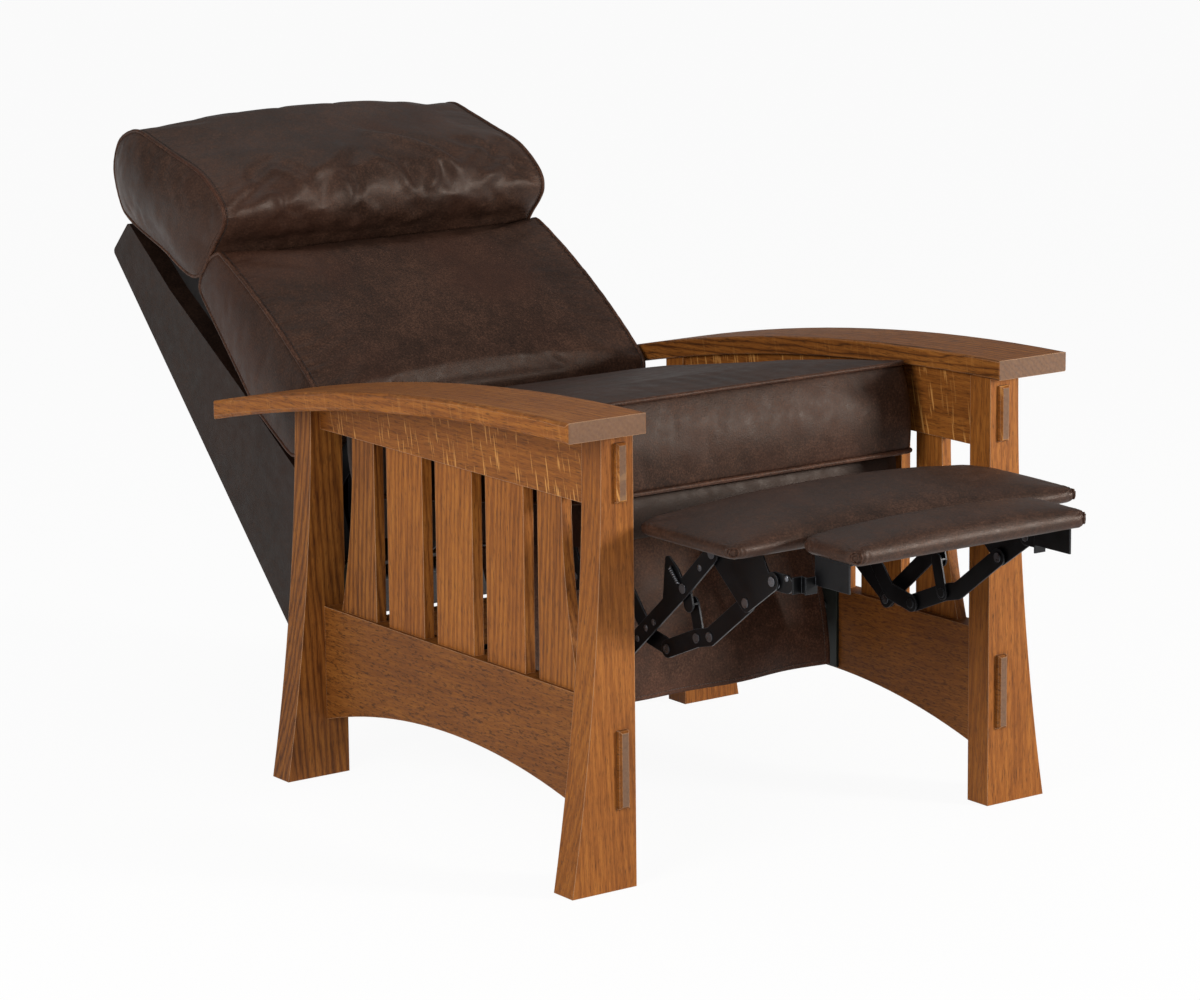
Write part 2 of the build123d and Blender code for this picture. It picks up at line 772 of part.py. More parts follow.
# Back
with BuildPart() as back_shell:
    outer = [(0, 0), (shell_length, 0), (shell_length, shell_top_depth),
             (shell_upper_place, shell_upper_depth), (shell_middle_place, shell_middle_depth),
             (shell_lower_place, shell_lower_depth), (0, shell_foot_depth)]
    with BuildSketch(back_plane(-back_half_width)):
        with BuildLine():
            Polyline(*outer, close=True)
        make_face()
    extrude(amount=2 * back_half_width)
    fillet(back_shell.edges().filter_by(Axis.X).sort_by(Axis.Z)[-2:], shell_round)
    with BuildSketch(back_plane(-back_half_width + shell_side)):
        with BuildLine():
            Polyline((shell_skin, shell_skin), (shell_length - shell_skin, shell_skin),
                     (shell_length - shell_skin, shell_lower_depth + overrun),
                     (shell_skin, shell_lower_depth + overrun), close=True)
        make_face()
    extrude(amount=2 * (back_half_width - shell_side), mode=Mode.SUBTRACT)
hand_in("back_shell", back_shell)

board_outer = back_half_width - shell_side
board_inner = side_plate_outer + plate_clearance + link_thick
rail_front = back_cushion_rear - soft_clearance - 2 * back_spring_wire
with BuildPart() as back_boards:
    with BuildSketch(back_plane(board_inner)):
        with BuildLine():
            Polyline((back_board_end, shell_skin), (shell_length - back_board_end, shell_skin),
                     (shell_length - back_board_end, shell_top_depth - soft_clearance),
                     (pillow_foot, pillow_foot_depth - soft_clearance), (back_cushion_top, rail_front),
                     (back_cushion_heel, rail_front), (shell_lower_place, shell_lower_depth - soft_clearance),
                     (back_board_end, shell_foot_depth), close=True)
        make_face()
    extrude(amount=board_outer - board_inner)
    mirror(about=Plane.YZ)
hand_in("back_boards", back_boards)

spring_foot = back_cushion_heel - 2 * back_rail_height
spring_top = back_cushion_top - back_rail_height / 2
with BuildPart() as back_rails:
    end_rail = back_board_end + back_rail_height / 2
    for place, front in ((end_rail, shell_skin + back_rail_thick), (spring_foot, rail_front),
                         (spring_top, rail_front), (shell_length - end_rail, shell_skin + back_rail_thick)):
        with BuildSketch(back_plane(-board_inner)):
            with Locations((place, front - back_rail_thick / 2)):
                Rectangle(back_rail_height, back_rail_thick)
        extrude(amount=2 * board_inner)
hand_in("back_rails", back_rails)

with BuildPart() as back_springs:
    lean = math.radians(back_lean)
    for number in range(back_spring_count):
        middle = (number - (back_spring_count - 1) / 2) * back_spring_pitch
        flat = Plane(origin=(middle, *back_point(0, rail_front + back_spring_wire)),
                     x_dir=(1, 0, 0), z_dir=(0, -math.cos(lean), math.sin(lean)))
        with BuildLine(flat):
            path = FilletPolyline(*wave(spring_foot, spring_top, seat_spring_half_wave, back_spring_turns),
                                  radius=3 * back_spring_wire)
        with BuildSketch(Plane(origin=path @ 0, z_dir=path % 0)):
            Circle(back_spring_wire)
        sweep(path=path)
hand_in("back_springs", back_springs)

with BuildPart() as back_brackets:
    with BuildSketch(side_plane(side_plate_outer + plate_clearance)):
        grip = back_point(shell_lower_place, shell_foot_depth / 2)
        far_grip = back_point(shell_middle_place, shell_foot_depth / 2)
        bar([(back_axis_y, back_axis_z), grip, far_grip], back_bracket_width)
        pivot_holes([(back_axis_y, back_axis_z)], back_pin_radius + pin_clearance)
    extrude(amount=link_thick)
    mirror(about=Plane.YZ)
hand_in("back_brackets", back_brackets)

with BuildPart() as back_pins:
    axis = (back_axis_y, back_axis_z)
    outer_face = side_plate_outer + plate_clearance + link_thick + face_clearance
    disc(axis, side_plate_inner, outer_face, back_pin_radius)
    disc(axis, side_plate_inner - rivet_head_height, side_plate_inner, back_pin_radius + rivet_radius)
    disc(axis, outer_face, outer_face + rivet_head_height, back_pin_radius + rivet_radius)
    mirror(about=Plane.YZ)
hand_in("back_pins", back_pins)

with BuildPart() as back_cushion:
    for place, crown in ((-back_half_width, 0), (0, back_cushion_crown), (back_half_width, 0)):
        top = (back_cushion_top, back_cushion_top_depth)
        foot = (back_cushion_foot, back_cushion_foot_depth)
        middle = ((back_cushion_top + back_cushion_foot) / 2,
                  (back_cushion_top_depth + back_cushion_foot_depth) / 2 + back_cushion_arch + crown)
        with BuildSketch(back_plane(place)):
            with BuildLine():
                Polyline((back_cushion_foot, back_cushion_heel_depth), (back_cushion_heel, back_cushion_rear),
                         (back_cushion_top, back_cushion_rear))
                ThreePointArc((back_cushion_top, back_cushion_rear),
                              (back_cushion_top + back_cushion_top_roll,
                               (back_cushion_rear + back_cushion_top_depth) / 2), top)
                ThreePointArc(top, middle, foot)
                ThreePointArc(foot, (back_cushion_foot - back_cushion_roll,
                                     (back_cushion_heel_depth + back_cushion_foot_depth) / 2),
                              (back_cushion_foot, back_cushion_heel_depth))
            make_face()
    loft()
hand_in("back_cushion", back_cushion)

with BuildPart() as headrest_pillow:
    for place, puff in ((-back_half_width, 0), (0, pillow_puff), (back_half_width, 0)):
        with BuildSketch(back_plane(place)):
            with BuildLine():
                crest_rear = (pillow_crest_rear, pillow_heel_depth)
                crest_front = (pillow_crest_front + puff, pillow_crest_front_depth)
                shoulder = (pillow_shoulder, pillow_shoulder_depth + puff)
                lip = (pillow_lip, pillow_lip_depth)
                tuck = (pillow_foot, pillow_tuck_depth)
                Polyline(tuck, (pillow_foot, pillow_foot_depth), (pillow_heel, pillow_heel_depth), crest_rear)
                ThreePointArc(crest_rear, (pillow_top + puff, pillow_top_depth), crest_front)
                Line(crest_front, shoulder)
                ThreePointArc(shoulder, (pillow_nose, pillow_nose_depth + puff / 2), lip)
                ThreePointArc(lip, (pillow_foot, pillow_lip_under), tuck)
            make_face()
    loft()
hand_in("headrest_pillow", headrest_pillow)


def plate(place, points, width, holes, hole_radius):
    """A flat link in the given link plane, with its pivot holes."""
    with BuildSketch(side_plane(link_outer(place) - link_thick)) as outline:
        bar(points, width)
        pivot_holes(holes, hole_radius)
    extrude(outline.sketch, amount=link_thick)


# Footrest linkage
free_hole = rivet_radius + pin_clearance
with BuildPart() as drive_links:
    plate(1, [drive_pivot, knuckle], link_width, [drive_pivot], free_hole)
    disc(knuckle, link_outer(1) - link_thick, link_outer(1), rivet_radius, Mode.SUBTRACT)
    mirror(about=Plane.YZ)
hand_in("drive_links", drive_links)

with BuildPart() as drive_rivets:
    rivet(knuckle, link_outer(2) - link_thick - face_clearance, link_outer(1))
    mirror(about=Plane.YZ)
hand_in("drive_rivets", drive_rivets)

with BuildPart() as lift_arms:
    with BuildSketch(side_plane(link_outer(2) - link_thick)):
        bar([knuckle, lift_middle, lift_top], link_width)
        with BuildLine():
            Polyline(lift_middle, lift_ear_front, lift_ear_rear, lift_ear_foot, close=True)
        make_face()
        bar([lift_middle, lift_ear_front, lift_ear_rear, lift_ear_foot], lift_ear_width)
        pivot_holes([knuckle], free_hole)
        pivot_holes([lift_middle, lift_top], rivet_radius)
    extrude(amount=link_thick)
    mirror(about=Plane.YZ)
hand_in("lift_arms", lift_arms)

with BuildPart() as arm_rivets:
    for pivot in (lift_middle, lift_top):
        rivet(pivot, link_outer(3) - link_thick - face_clearance, link_outer(2))
    mirror(about=Plane.YZ)
hand_in("arm_rivets", arm_rivets)


def between(start, end, distance):
    """The point this far from the start on the way to the end."""
    run = math.hypot(end[0] - start[0], end[1] - start[1])
    return (start[0] + (end[0] - start[0]) * distance / run, start[1] + (end[1] - start[1]) * distance / run)


with BuildPart() as cross_links:
    jog = between(lift_middle, knee, cross_link_jog)
    narrow = link_width - link_width / 6
    plate(3, [lift_middle, jog], narrow, [lift_middle], free_hole)
    plate(5, [jog, knee], narrow, [], free_hole)
    angle = math.degrees(math.atan2(knee[1] - lift_middle[1], knee[0] - lift_middle[0]))
    with BuildSketch(side_plane(link_outer(5) - link_thick)):
        with Locations(jog):
            Rectangle(link_thick, narrow, rotation=angle)
    extrude(amount=link_outer(3) - link_outer(5) + link_thick)
    disc(knee, link_outer(5) - link_thick - rivet_head_height, link_outer(5) - link_thick, rivet_head_radius)
    mirror(about=Plane.YZ)
hand_in("cross_links", cross_links)

with BuildPart() as lower_links:
    plate(4, [bracket_low, lower_link_bend, knee, low_end], link_width, [bracket_low], free_hole)
    mirror(about=Plane.YZ)
hand_in("lower_links", lower_links)

with BuildPart() as lower_rivets:
    for pivot in (lower_link_bend, knee, low_end):
        disc(pivot, link_outer(4), link_outer(4) + rivet_head_height, rivet_head_radius)
    mirror(about=Plane.YZ)
hand_in("lower_rivets", lower_rivets)

with BuildPart() as rear_links:
    plate(5, [low_end, rear_link_bend, rear_pivot], link_width, [rear_pivot], free_hole)
    inner_face = link_outer(5) - link_thick
    disc(low_end, inner_face - rivet_head_height, inner_face, rivet_head_radius)
    mirror(about=Plane.YZ)
hand_in("rear_links", rear_links)

# Footrest brackets and boards
with BuildPart() as footrest_brackets:
    bracket_inner = link_outer(3) - link_thick
    with BuildSketch(side_plane(bracket_inner)):
        bar([lift_top, bracket_low, flip_axis], link_width)
        with BuildLine():
            Polyline(lift_top, (lift_top[0], pad_under), (flip_axis[0] + link_width, pad_under), flip_axis,
                     bracket_low, close=True)
        make_face()
        pivot_holes([lift_top], free_hole)
        pivot_holes([bracket_low, flip_axis], rivet_radius)
    extrude(amount=link_thick)
    with BuildSketch(side_plane(bracket_inner - flange_width)):
        with Locations(((lift_top[0] + flip_axis[0] + link_width) / 2, pad_under - link_thick / 2)):
            Rectangle(lift_top[0] - flip_axis[0] - link_width, link_thick)
    extrude(amount=flange_width)
    mirror(about=Plane.YZ)
hand_in("footrest_brackets", footrest_brackets)

with BuildPart() as bracket_rivets:
    for pivot in (bracket_low, flip_axis):
        rivet(pivot, link_outer(4) - link_thick - face_clearance, link_outer(3))
    mirror(about=Plane.YZ)
hand_in("bracket_rivets", bracket_rivets)


def pad_and_board(front, depth, half_width, thick, crown):
    """A crowned pad wrapped round its board, and the board."""
    with BuildPart() as board:
        with BuildSketch(Plane.XY.offset(pad_under)):
            with Locations((0, front + depth / 2)):
                Rectangle(2 * (half_width - board_inset), depth - 2 * board_inset)
        extrude(amount=board_thick)
    with BuildPart() as pad:
        for place, share in ((-half_width, pad_end_share), (0, 1), (half_width, pad_end_share)):
            corner = (place, front + pad_bulge, pad_under)
            with BuildSketch(Plane(origin=corner, x_dir=(0, 1, 0), z_dir=(1, 0, 0))):
                add(cushion_profile(depth - 2 * pad_bulge, thick, crown * share, pad_bulge * share))
                make_face()
        loft()
        add(board.part, mode=Mode.SUBTRACT)
    return pad, board


footrest_pad, footrest_board = pad_and_board(main_front, main_depth, main_half_width, main_thick, main_crown)
hand_in("footrest_board", footrest_board)
hand_in("footrest_pad", footrest_pad)

flip_pad, flip_board = pad_and_board(flip_front, flip_depth, flip_half_width, flip_thick, flip_crown)
hand_in("flip_board", flip_board)
hand_in("flip_pad", flip_pad)

with BuildPart() as flip_brackets:
    root_inner = link_outer(4) - link_thick
    step_low = flip_axis[1]
    first_step = flip_axis[0] - link_width
    second_step = first_step - link_width
    plate(4, [flip_axis, (first_step, step_low)], link_width, [flip_axis], free_hole)
    for near, far, place in ((root_inner, flip_step_x, first_step - link_width / 2),
                             (flip_step_x, flip_plate_x, second_step)):
        with BuildSketch(side_plane(far - link_thick)):
            with Locations((place, step_low)):
                Rectangle(link_thick, link_width - link_thick)
        extrude(amount=near - far + 2 * link_thick)
    with BuildSketch(side_plane(flip_step_x - link_thick)):
        with Locations(((first_step - link_width / 2 + second_step) / 2, step_low)):
            Rectangle(first_step - link_width / 2 - second_step, link_width - link_thick)
    extrude(amount=link_thick)
    with BuildSketch(side_plane(flip_plate_x - link_thick)):
        with Locations(((second_step + flip_plate_front) / 2, pad_under - flip_plate_height / 2)):
            Rectangle(second_step - flip_plate_front, flip_plate_height)
    extrude(amount=link_thick)
    with BuildSketch(side_plane(flip_plate_x - link_thick - flange_width)):
        with Locations(((flip_plate_rear + flip_plate_front) / 2, pad_under - link_thick / 2)):
            Rectangle(flip_plate_rear - flip_plate_front, link_thick)
    extrude(amount=flange_width)
    mirror(about=Plane.YZ)
hand_in("flip_brackets", flip_brackets)

with BuildPart() as return_springs:
    middle = link_outer(2) + face_clearance + coil_radius + coil_wire
    start = between(lift_middle, lift_ear_rear, rivet_head_radius + coil_wire)
    run = (lift_ear_rear[0] - start[0], lift_ear_rear[1] - start[1])
    with BuildSketch(Plane(origin=(middle, *start), x_dir=(1, 0, 0), z_dir=(0, *run))):
        Circle(coil_radius + coil_wire)
        Circle(coil_radius - coil_wire, mode=Mode.SUBTRACT)
    extrude(amount=coil_turns * coil_pitch)
    mirror(about=Plane.YZ)
hand_in("return_springs", return_springs)
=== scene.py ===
import bpy
import bmesh
import math
import numpy as np
from mathutils import Matrix, Vector, noise
from mathutils.bvhtree import BVHTree


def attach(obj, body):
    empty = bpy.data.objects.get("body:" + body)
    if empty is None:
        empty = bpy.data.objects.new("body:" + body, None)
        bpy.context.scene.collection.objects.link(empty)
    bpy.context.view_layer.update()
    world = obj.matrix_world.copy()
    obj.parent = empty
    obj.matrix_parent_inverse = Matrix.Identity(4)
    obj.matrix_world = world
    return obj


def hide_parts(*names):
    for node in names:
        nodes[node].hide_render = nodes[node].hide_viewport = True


# Mission reclining armchair: oak sides, dark leather cushions, black steel footrest linkage.
# Metres, +Z up, the front is -Y, the sitter's right is -X.

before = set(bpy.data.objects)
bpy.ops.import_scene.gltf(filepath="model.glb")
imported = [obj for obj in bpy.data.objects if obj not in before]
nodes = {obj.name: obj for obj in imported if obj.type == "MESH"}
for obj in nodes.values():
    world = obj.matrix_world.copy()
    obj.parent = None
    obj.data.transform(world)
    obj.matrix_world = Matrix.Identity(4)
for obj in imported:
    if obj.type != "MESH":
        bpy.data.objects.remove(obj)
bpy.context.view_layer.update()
scene = bpy.context.scene
print("frame loaded:", len(nodes), "nodes")


# Small helpers for node trees

class Weave:
    # writes a tree's nodes in short calls: an input is a constant or the socket that feeds it
    def __init__(self, tree):
        self.tree = tree

    def node(self, kind, settings=None, **inputs):
        made = self.tree.nodes.new(kind if "Node" in kind else "ShaderNode" + kind)
        for key, value in (settings or {}).items():
            setattr(made, key, value)
        for key, value in inputs.items():
            self.feed(made, key.replace("_", " "), value)
        return made

    def feed(self, made, key, value):
        # n0, n1 and so on stand for a socket's number
        socket = made.inputs[int(key[1:])] if key[0] == "n" and key[1:].isdigit() else made.inputs[key]
        if isinstance(value, bpy.types.NodeSocket):
            self.tree.links.new(value, socket)
        else:
            socket.default_value = value

    def sum(self, first, second, how="ADD"):
        return self.node("Math", {"operation": how}, n0=first, n1=second).outputs[0]

    def times(self, first, second):
        return self.sum(first, second, "MULTIPLY")

    def weigh(self, *parts):
        # adds up (value, share) pairs
        total = None
        for value, share in parts:
            part = self.times(value, share)
            total = part if total is None else self.sum(total, part)
        return total


class Look(Weave):
    # one material
    def __init__(self, name):
        self.material = bpy.data.materials.new(name)
        self.material.use_nodes = True
        super().__init__(self.material.node_tree)
        self.surface = self.tree.nodes["Principled BSDF"]

    def place(self, scale, shift=(0, 0, 0)):
        where = self.node("TexCoord")
        return self.node("Mapping", Vector=where.outputs["Object"], Location=shift,
                         Scale=scale).outputs["Vector"]

    def turned(self, perMetre, angle, shift=(0, 0, 0)):
        # the place turned about the X axis first, then stretched
        where = self.node("TexCoord")
        return self.node("Mapping", {"vector_type": "TEXTURE"}, Vector=where.outputs["Object"],
                         Location=shift, Rotation=(angle, 0, 0),
                         Scale=tuple(1 / v for v in perMetre)).outputs["Vector"]

    def cloud(self, scale, detail=3.0, rough=0.55, twist=0.0, shift=(0, 0, 0)):
        return self.noise(self.place(scale, shift), detail, rough, twist)

    def noise(self, where, detail, rough, twist):
        return self.node("TexNoise", Vector=where, Scale=1, Detail=detail, Roughness=rough,
                         Distortion=twist).outputs["Fac"]

    def span(self, value, low, high, newLow=0.0, newHigh=1.0):
        return self.node("MapRange", {"clamp": True}, Value=value, From_Min=low, From_Max=high,
                         To_Min=newLow, To_Max=newHigh).outputs["Result"]

    def blendTone(self, share, under, over):
        mix = self.node("Mix", {"data_type": "RGBA", "blend_type": "MIX"}, n0=share, n6=under, n7=over)
        return mix.outputs[2]

    def cover(self, colour, mask, share, tone):
        # the colour with a share of the tone over it where the mask is 1
        return self.blendTone(self.times(mask, share), colour, tone)

    def ramp(self, value, low, middle, high, middleAt=0.5):
        made = self.node("ValToRGB", Fac=value)
        made.color_ramp.elements[0].color = low
        made.color_ramp.elements[1].color = high
        made.color_ramp.elements.new(middleAt).color = middle
        return made.outputs["Color"]

    def softEdge(self, radius):
        # the rounded normal of a sharp edge, and how far it turns from the flat face
        bevel = self.node("Bevel", {"samples": 6}, Radius=radius)
        face = self.node("NewGeometry")
        dot = self.node("VectorMath", {"operation": "DOT_PRODUCT"}, n0=bevel.outputs[0],
                        n1=face.outputs["Normal"]).outputs["Value"]
        return bevel.outputs[0], self.span(dot, 0.997, 0.82)

    def raised(self, height, strength, distance, normal=None):
        bump = self.node("Bump", Strength=strength, Distance=distance, Height=height)
        if normal is not None:
            self.feed(bump, "Normal", normal)
        return bump.outputs["Normal"]

    def finish(self, colour, roughness, normal=None, **constants):
        self.feed(self.surface, "Base Color", colour)
        self.feed(self.surface, "Roughness", roughness)
        if normal is not None:
            self.feed(self.surface, "Normal", normal)
        for key, value in constants.items():
            self.surface.inputs[key.replace("_", " ")].default_value = value
        return self.material


# Camera and studio

photoCamera = {
    "place": (-3.3143, -4.691, 1.6038),
    "target": (-0.0167, -0.228, 0.511),
    "roll": -0.0073,
    "focalPixels": 4120.93,
    "widthPixels": 1200,
    "shiftPixels": (-71.7, -61.2),
}

studio = {
    "floorSize": 60, "floorWhite": 0.94, "floorTone": (0.9, 0.9, 0.9, 1),
    "fill": 0.32, "white": (1, 1, 1, 1), "lampTarget": (0, 0, 0.45),
    # each lamp: its place, size, power and tint
    "lamps": {"keyLight": ((2.3, -3.3, 1.35), 0.7, 138, (1, 0.97, 0.93)),
              "sideLight": ((-3.6, -1.6, 2.0), 1.8, 96, (1, 0.98, 0.96)),
              "topLight": ((0.2, 0.9, 3.4), 1.6, 10, (1, 1, 1))},
}


def linear(tone, times=1):
    # a colour written as 0 to 255 screen values
    tone = [v * times for v in tone]
    return tuple((v / 255 / 12.92) if v <= 10 else ((v / 255 + 0.055) / 1.055) ** 2.4 for v in tone) + (1,)


def newObject(name, data):
    made = bpy.data.objects.new(name, data)
    scene.collection.objects.link(made)
    return made


def aim(thing, target, roll=0.0):
    way = Vector(target) - thing.location
    turn = way.to_track_quat("-Z", "Y").to_matrix().to_4x4() @ Matrix.Rotation(roll, 4, "Z")
    thing.rotation_euler = turn.to_euler()


def addCamera():
    lens = bpy.data.cameras.new("photoCamera")
    camera = newObject("photoCamera", lens)
    camera.location = photoCamera["place"]
    aim(camera, photoCamera["target"], photoCamera["roll"])
    lens.sensor_width = 36
    lens.lens = photoCamera["focalPixels"] / photoCamera["widthPixels"] * lens.sensor_width
    lens.shift_x, lens.shift_y = (s / photoCamera["widthPixels"] for s in photoCamera["shiftPixels"])
    lens.clip_end = 60
    scene.camera = camera


def addLamp(name, place, size, power, tone):
    light = bpy.data.lights.new(name, "AREA")
    light.size = size
    light.energy = power
    light.color = tone
    lamp = newObject(name, light)
    lamp.location = place
    aim(lamp, studio["lampTarget"])


def seenByEye(w):
    # 1 for what the camera sees straight, in a mirror or through glass
    path = w.node("LightPath").outputs
    mirrored = w.sum(path["Is Camera Ray"], path["Is Glossy Ray"], "MAXIMUM")
    return w.sum(mirrored, path["Is Transmission Ray"], "MAXIMUM")


def addWorld():
    scene.view_settings.view_transform = "Standard"
    world = bpy.data.worlds.new("studio")
    scene.world = world
    world.use_nodes = True
    w = Weave(world.node_tree)
    w.tree.nodes.clear()
    soft = w.node("Background", Color=studio["white"], Strength=studio["fill"])
    white = w.node("Background", Color=studio["white"], Strength=1)
    straight = w.node("LightPath").outputs["Is Camera Ray"]
    mix = w.node("MixShader", n0=straight, n1=soft.outputs[0], n2=white.outputs[0])
    w.node("OutputWorld", Surface=mix.outputs[0])


def addFloor():
    half = studio["floorSize"] / 2
    mesh = bpy.data.meshes.new("studioFloor")
    mesh.from_pydata([(-half, -half, 0), (half, -half, 0), (half, half, 0), (-half, half, 0)], [],
                     [(0, 1, 2, 3)])
    floor = newObject("studioFloor", mesh)
    paint = bpy.data.materials.new("floorWhite")
    paint.use_nodes = True
    w = Weave(paint.node_tree)
    w.tree.nodes.clear()
    diffuse = w.node("BsdfDiffuse", Color=studio["floorTone"])
    glow = w.node("Emission", Strength=1)
    share = w.times(seenByEye(w), studio["floorWhite"])
    mix = w.node("MixShader", n0=share, n1=diffuse.outputs[0], n2=glow.outputs[0])
    w.node("OutputMaterial", Surface=mix.outputs[0])
    mesh.materials.append(paint)


addCamera()
addWorld()
for name, lamp in studio["lamps"].items():
    addLamp(name, *lamp)
addFloor()


# Oak

# the edge colour is a painted highlight, laid over the oak where the bevel turns along the eased edges
oakLook = {
    "dark": (92, 48, 17), "middle": (140, 83, 33), "light": (172, 110, 47),
    "pore": (56, 31, 14), "fleck": (204, 146, 80), "end": (106, 85, 70), "edge": (204, 163, 126),
    "edgeRadius": 0.0015, "edgeHighlightShare": 0.8, "roughness": 0.5, "specular": 0.16,
}


def makeOak(name, grain, shift, flecks=0.0, ticks=0.0, rings=0.5, lines=0.0, toneAndPaintedLight=1.0):
    # grain names the axis the board runs along; flecks, ticks and lines are the figure of a sawn face;
    # toneAndPaintedLight scales the oak tones per piece, partly the wood's own tone and partly painted light
    # and shade
    w = Look(name)
    along = "XYZ".index(grain)

    def stretch(lengthwise, across):
        scale = [across] * 3
        scale[along] = lengthwise
        return tuple(scale)

    offset = (shift, shift * 1.7, shift * 0.6)
    broad = w.cloud(stretch(1.8, 22), detail=2, twist=0.7, shift=offset)
    ringed = w.node("TexWave", {"wave_type": "BANDS", "bands_direction": "DIAGONAL"},
                    Vector=w.place(stretch(0.6, 9), shift=offset), Scale=6.5, Distortion=6.5, Detail=2.5,
                    Detail_Scale=1.2, Detail_Roughness=0.6).outputs["Fac"]
    streak = w.cloud(stretch(9, 190), detail=4, rough=0.65, twist=0.5, shift=offset)
    fibre = w.cloud(stretch(34, 560), detail=4, rough=0.75, shift=offset)
    pores = w.span(w.cloud(stretch(60, 800), detail=2, rough=0.6, shift=offset), 0.55, 0.68)
    patch = w.cloud((5, 5, 5), detail=2, shift=offset)

    shares = ((broad, 0.24), (ringed, 0.26 * rings), (streak, 0.34), (fibre, 0.62), (patch, 0.2))
    tone = w.weigh(*shares)
    centre = 0.5 * sum(share for part, share in shares)
    tone = w.span(tone, centre - 0.27, centre + 0.27)
    colour = w.ramp(tone, *(linear(oakLook[key], toneAndPaintedLight) for key in ("dark", "middle", "light")))
    colour = w.cover(colour, pores, 0.66, linear(oakLook["pore"]))

    gloss = w.span(fibre, 0.3, 0.7, oakLook["roughness"] - 0.06, oakLook["roughness"] + 0.1)
    if flecks > 0:
        slanted = w.turned((26, 270, 20), math.radians(-11), shift=offset)
        rays = w.span(w.noise(slanted, 2, 0.4, 0.4), 0.595, 0.66)
        groups = w.span(w.cloud((14, 14, 14), detail=1, shift=offset), 0.34, 0.46)
        colour = w.cover(colour, w.times(rays, groups), flecks, linear(oakLook["fleck"]))
    if ticks > 0:
        marks = w.cloud(stretch(95, 420), detail=2, rough=0.5, shift=offset)
        colour = w.cover(colour, w.span(marks, 0.56, 0.65), ticks, linear(oakLook["pore"]))
    if lines > 0:
        colour = w.cover(colour, w.span(ringed, 0.1, 0.0), lines, linear(oakLook["pore"]))

    face = w.node("NewGeometry")
    split = w.node("SeparateXYZ", Vector=face.outputs["Normal"])
    endGrain = w.span(w.sum(split.outputs[along], 0, "ABSOLUTE"), 0.8, 0.97)
    endTone = w.blendTone(w.cloud((260, 260, 260)), linear(oakLook["end"], 0.8), linear(oakLook["end"], 1.15))
    colour = w.cover(colour, endGrain, 0.8, endTone)

    # a pale line along the eased edges: a painted highlight
    rounded, edge = w.softEdge(oakLook["edgeRadius"])
    colour = w.cover(colour, edge, oakLook["edgeHighlightShare"], linear(oakLook["edge"]))
    height = w.sum(w.times(fibre, 0.5), w.times(pores, 0.9), "SUBTRACT")
    return w.finish(colour, gloss, w.raised(height, 0.3, 0.0006, rounded),
                    Specular_IOR_Level=oakLook["specular"])


# Leather

leatherLook = {
    "deep": (29, 18, 13), "middle": (49, 32, 24), "worn": (77, 53, 41), "red": (62, 36, 26),
    "grainSize": 560, "roughness": 0.48, "wrinkleTurn": math.radians(45.3),
    "shineTint": (1.0, 0.84, 0.74, 1.0),
}


def makeLeather(name, creases, shift=0.0, lift=1.0, shine=0.19):
    # creases is how strongly the soft folds stand out, lift how much paler the leather is painted, which
    # makes lit and shaded copies of one leather (painted light), shine its gloss
    w = Look(name)

    def tint(key):
        return linear(leatherLook[key], lift)

    offset = (shift, -shift, shift * 0.5)
    blotch = w.cloud((9, 9, 9), detail=5, rough=0.62, twist=0.5, shift=offset)
    small = w.cloud((46, 46, 46), detail=4, rough=0.65, shift=offset)
    fine = w.cloud((360, 360, 360), detail=3, rough=0.65, shift=offset)
    shares = ((blotch, 0.42), (small, 0.34), (fine, 0.8))
    centre = 0.5 * sum(share for part, share in shares)
    tone = w.span(w.weigh(*shares), centre - 0.2, centre + 0.22)
    colour = w.ramp(tone, tint("deep"), tint("middle"), tint("worn"), middleAt=0.48)
    reds = w.span(w.cloud((5, 5, 5), detail=2, shift=(offset[0] + 3, offset[1], offset[2])), 0.5, 0.7)
    colour = w.cover(colour, reds, 0.4, tint("red"))

    # beside a seam the leather is puckered in short lines and a little paler on their crests
    nearSeam = w.node("Attribute", {"attribute_name": "nearSeam"}).outputs["Fac"]
    lines = w.noise(w.turned((30, 260, 30), leatherLook["wrinkleTurn"]), 3, 0.55, 0.5)
    puckers = w.times(w.span(lines, 0.42, 0.68), nearSeam)
    colour = w.cover(colour, puckers, 0.5, tint("worn"))
    gloss = w.span(w.sum(small, w.times(fine, 0.5)), 0.5, 1.0,
                   leatherLook["roughness"] - 0.07, leatherLook["roughness"] + 0.12)
    cells = w.node("TexVoronoi", {"feature": "SMOOTH_F1"}, Vector=w.place((1, 1, 1), shift=offset),
                   Scale=leatherLook["grainSize"], Smoothness=0.6).outputs["Distance"]
    folds = w.cloud((60, 60, 60), detail=3, rough=0.5, twist=1.2, shift=offset)
    height = w.weigh((cells, 0.3), (folds, 2.4 * creases), (puckers, 1.3))
    return w.finish(colour, gloss, w.raised(height, 0.5, 0.0012), Specular_IOR_Level=shine,
                    Specular_Tint=leatherLook["shineTint"])


# Steel, board and thread

def makeBlackSteel(name, tone, edgeHighlightTone=(112, 116, 122)):
    w = Look(name)
    rubs = w.cloud((38, 38, 38), detail=5, rough=0.7)
    scratches = w.span(w.cloud((400, 45, 45), detail=2), 0.6, 0.7)
    colour = w.blendTone(w.span(rubs, 0.35, 0.7), linear(tone), linear(tone, 1.5))
    # a pale line along the steel's edges: a painted highlight
    rounded, edge = w.softEdge(0.0009)
    colour = w.cover(colour, edge, 0.55, linear(edgeHighlightTone))
    gloss = w.sum(w.span(rubs, 0.3, 0.7, 0.32, 0.5), w.times(scratches, 0.12))
    return w.finish(colour, gloss, w.raised(rubs, 0.15, 0.0006, rounded), Metallic=0.2,
                    Specular_IOR_Level=0.25)


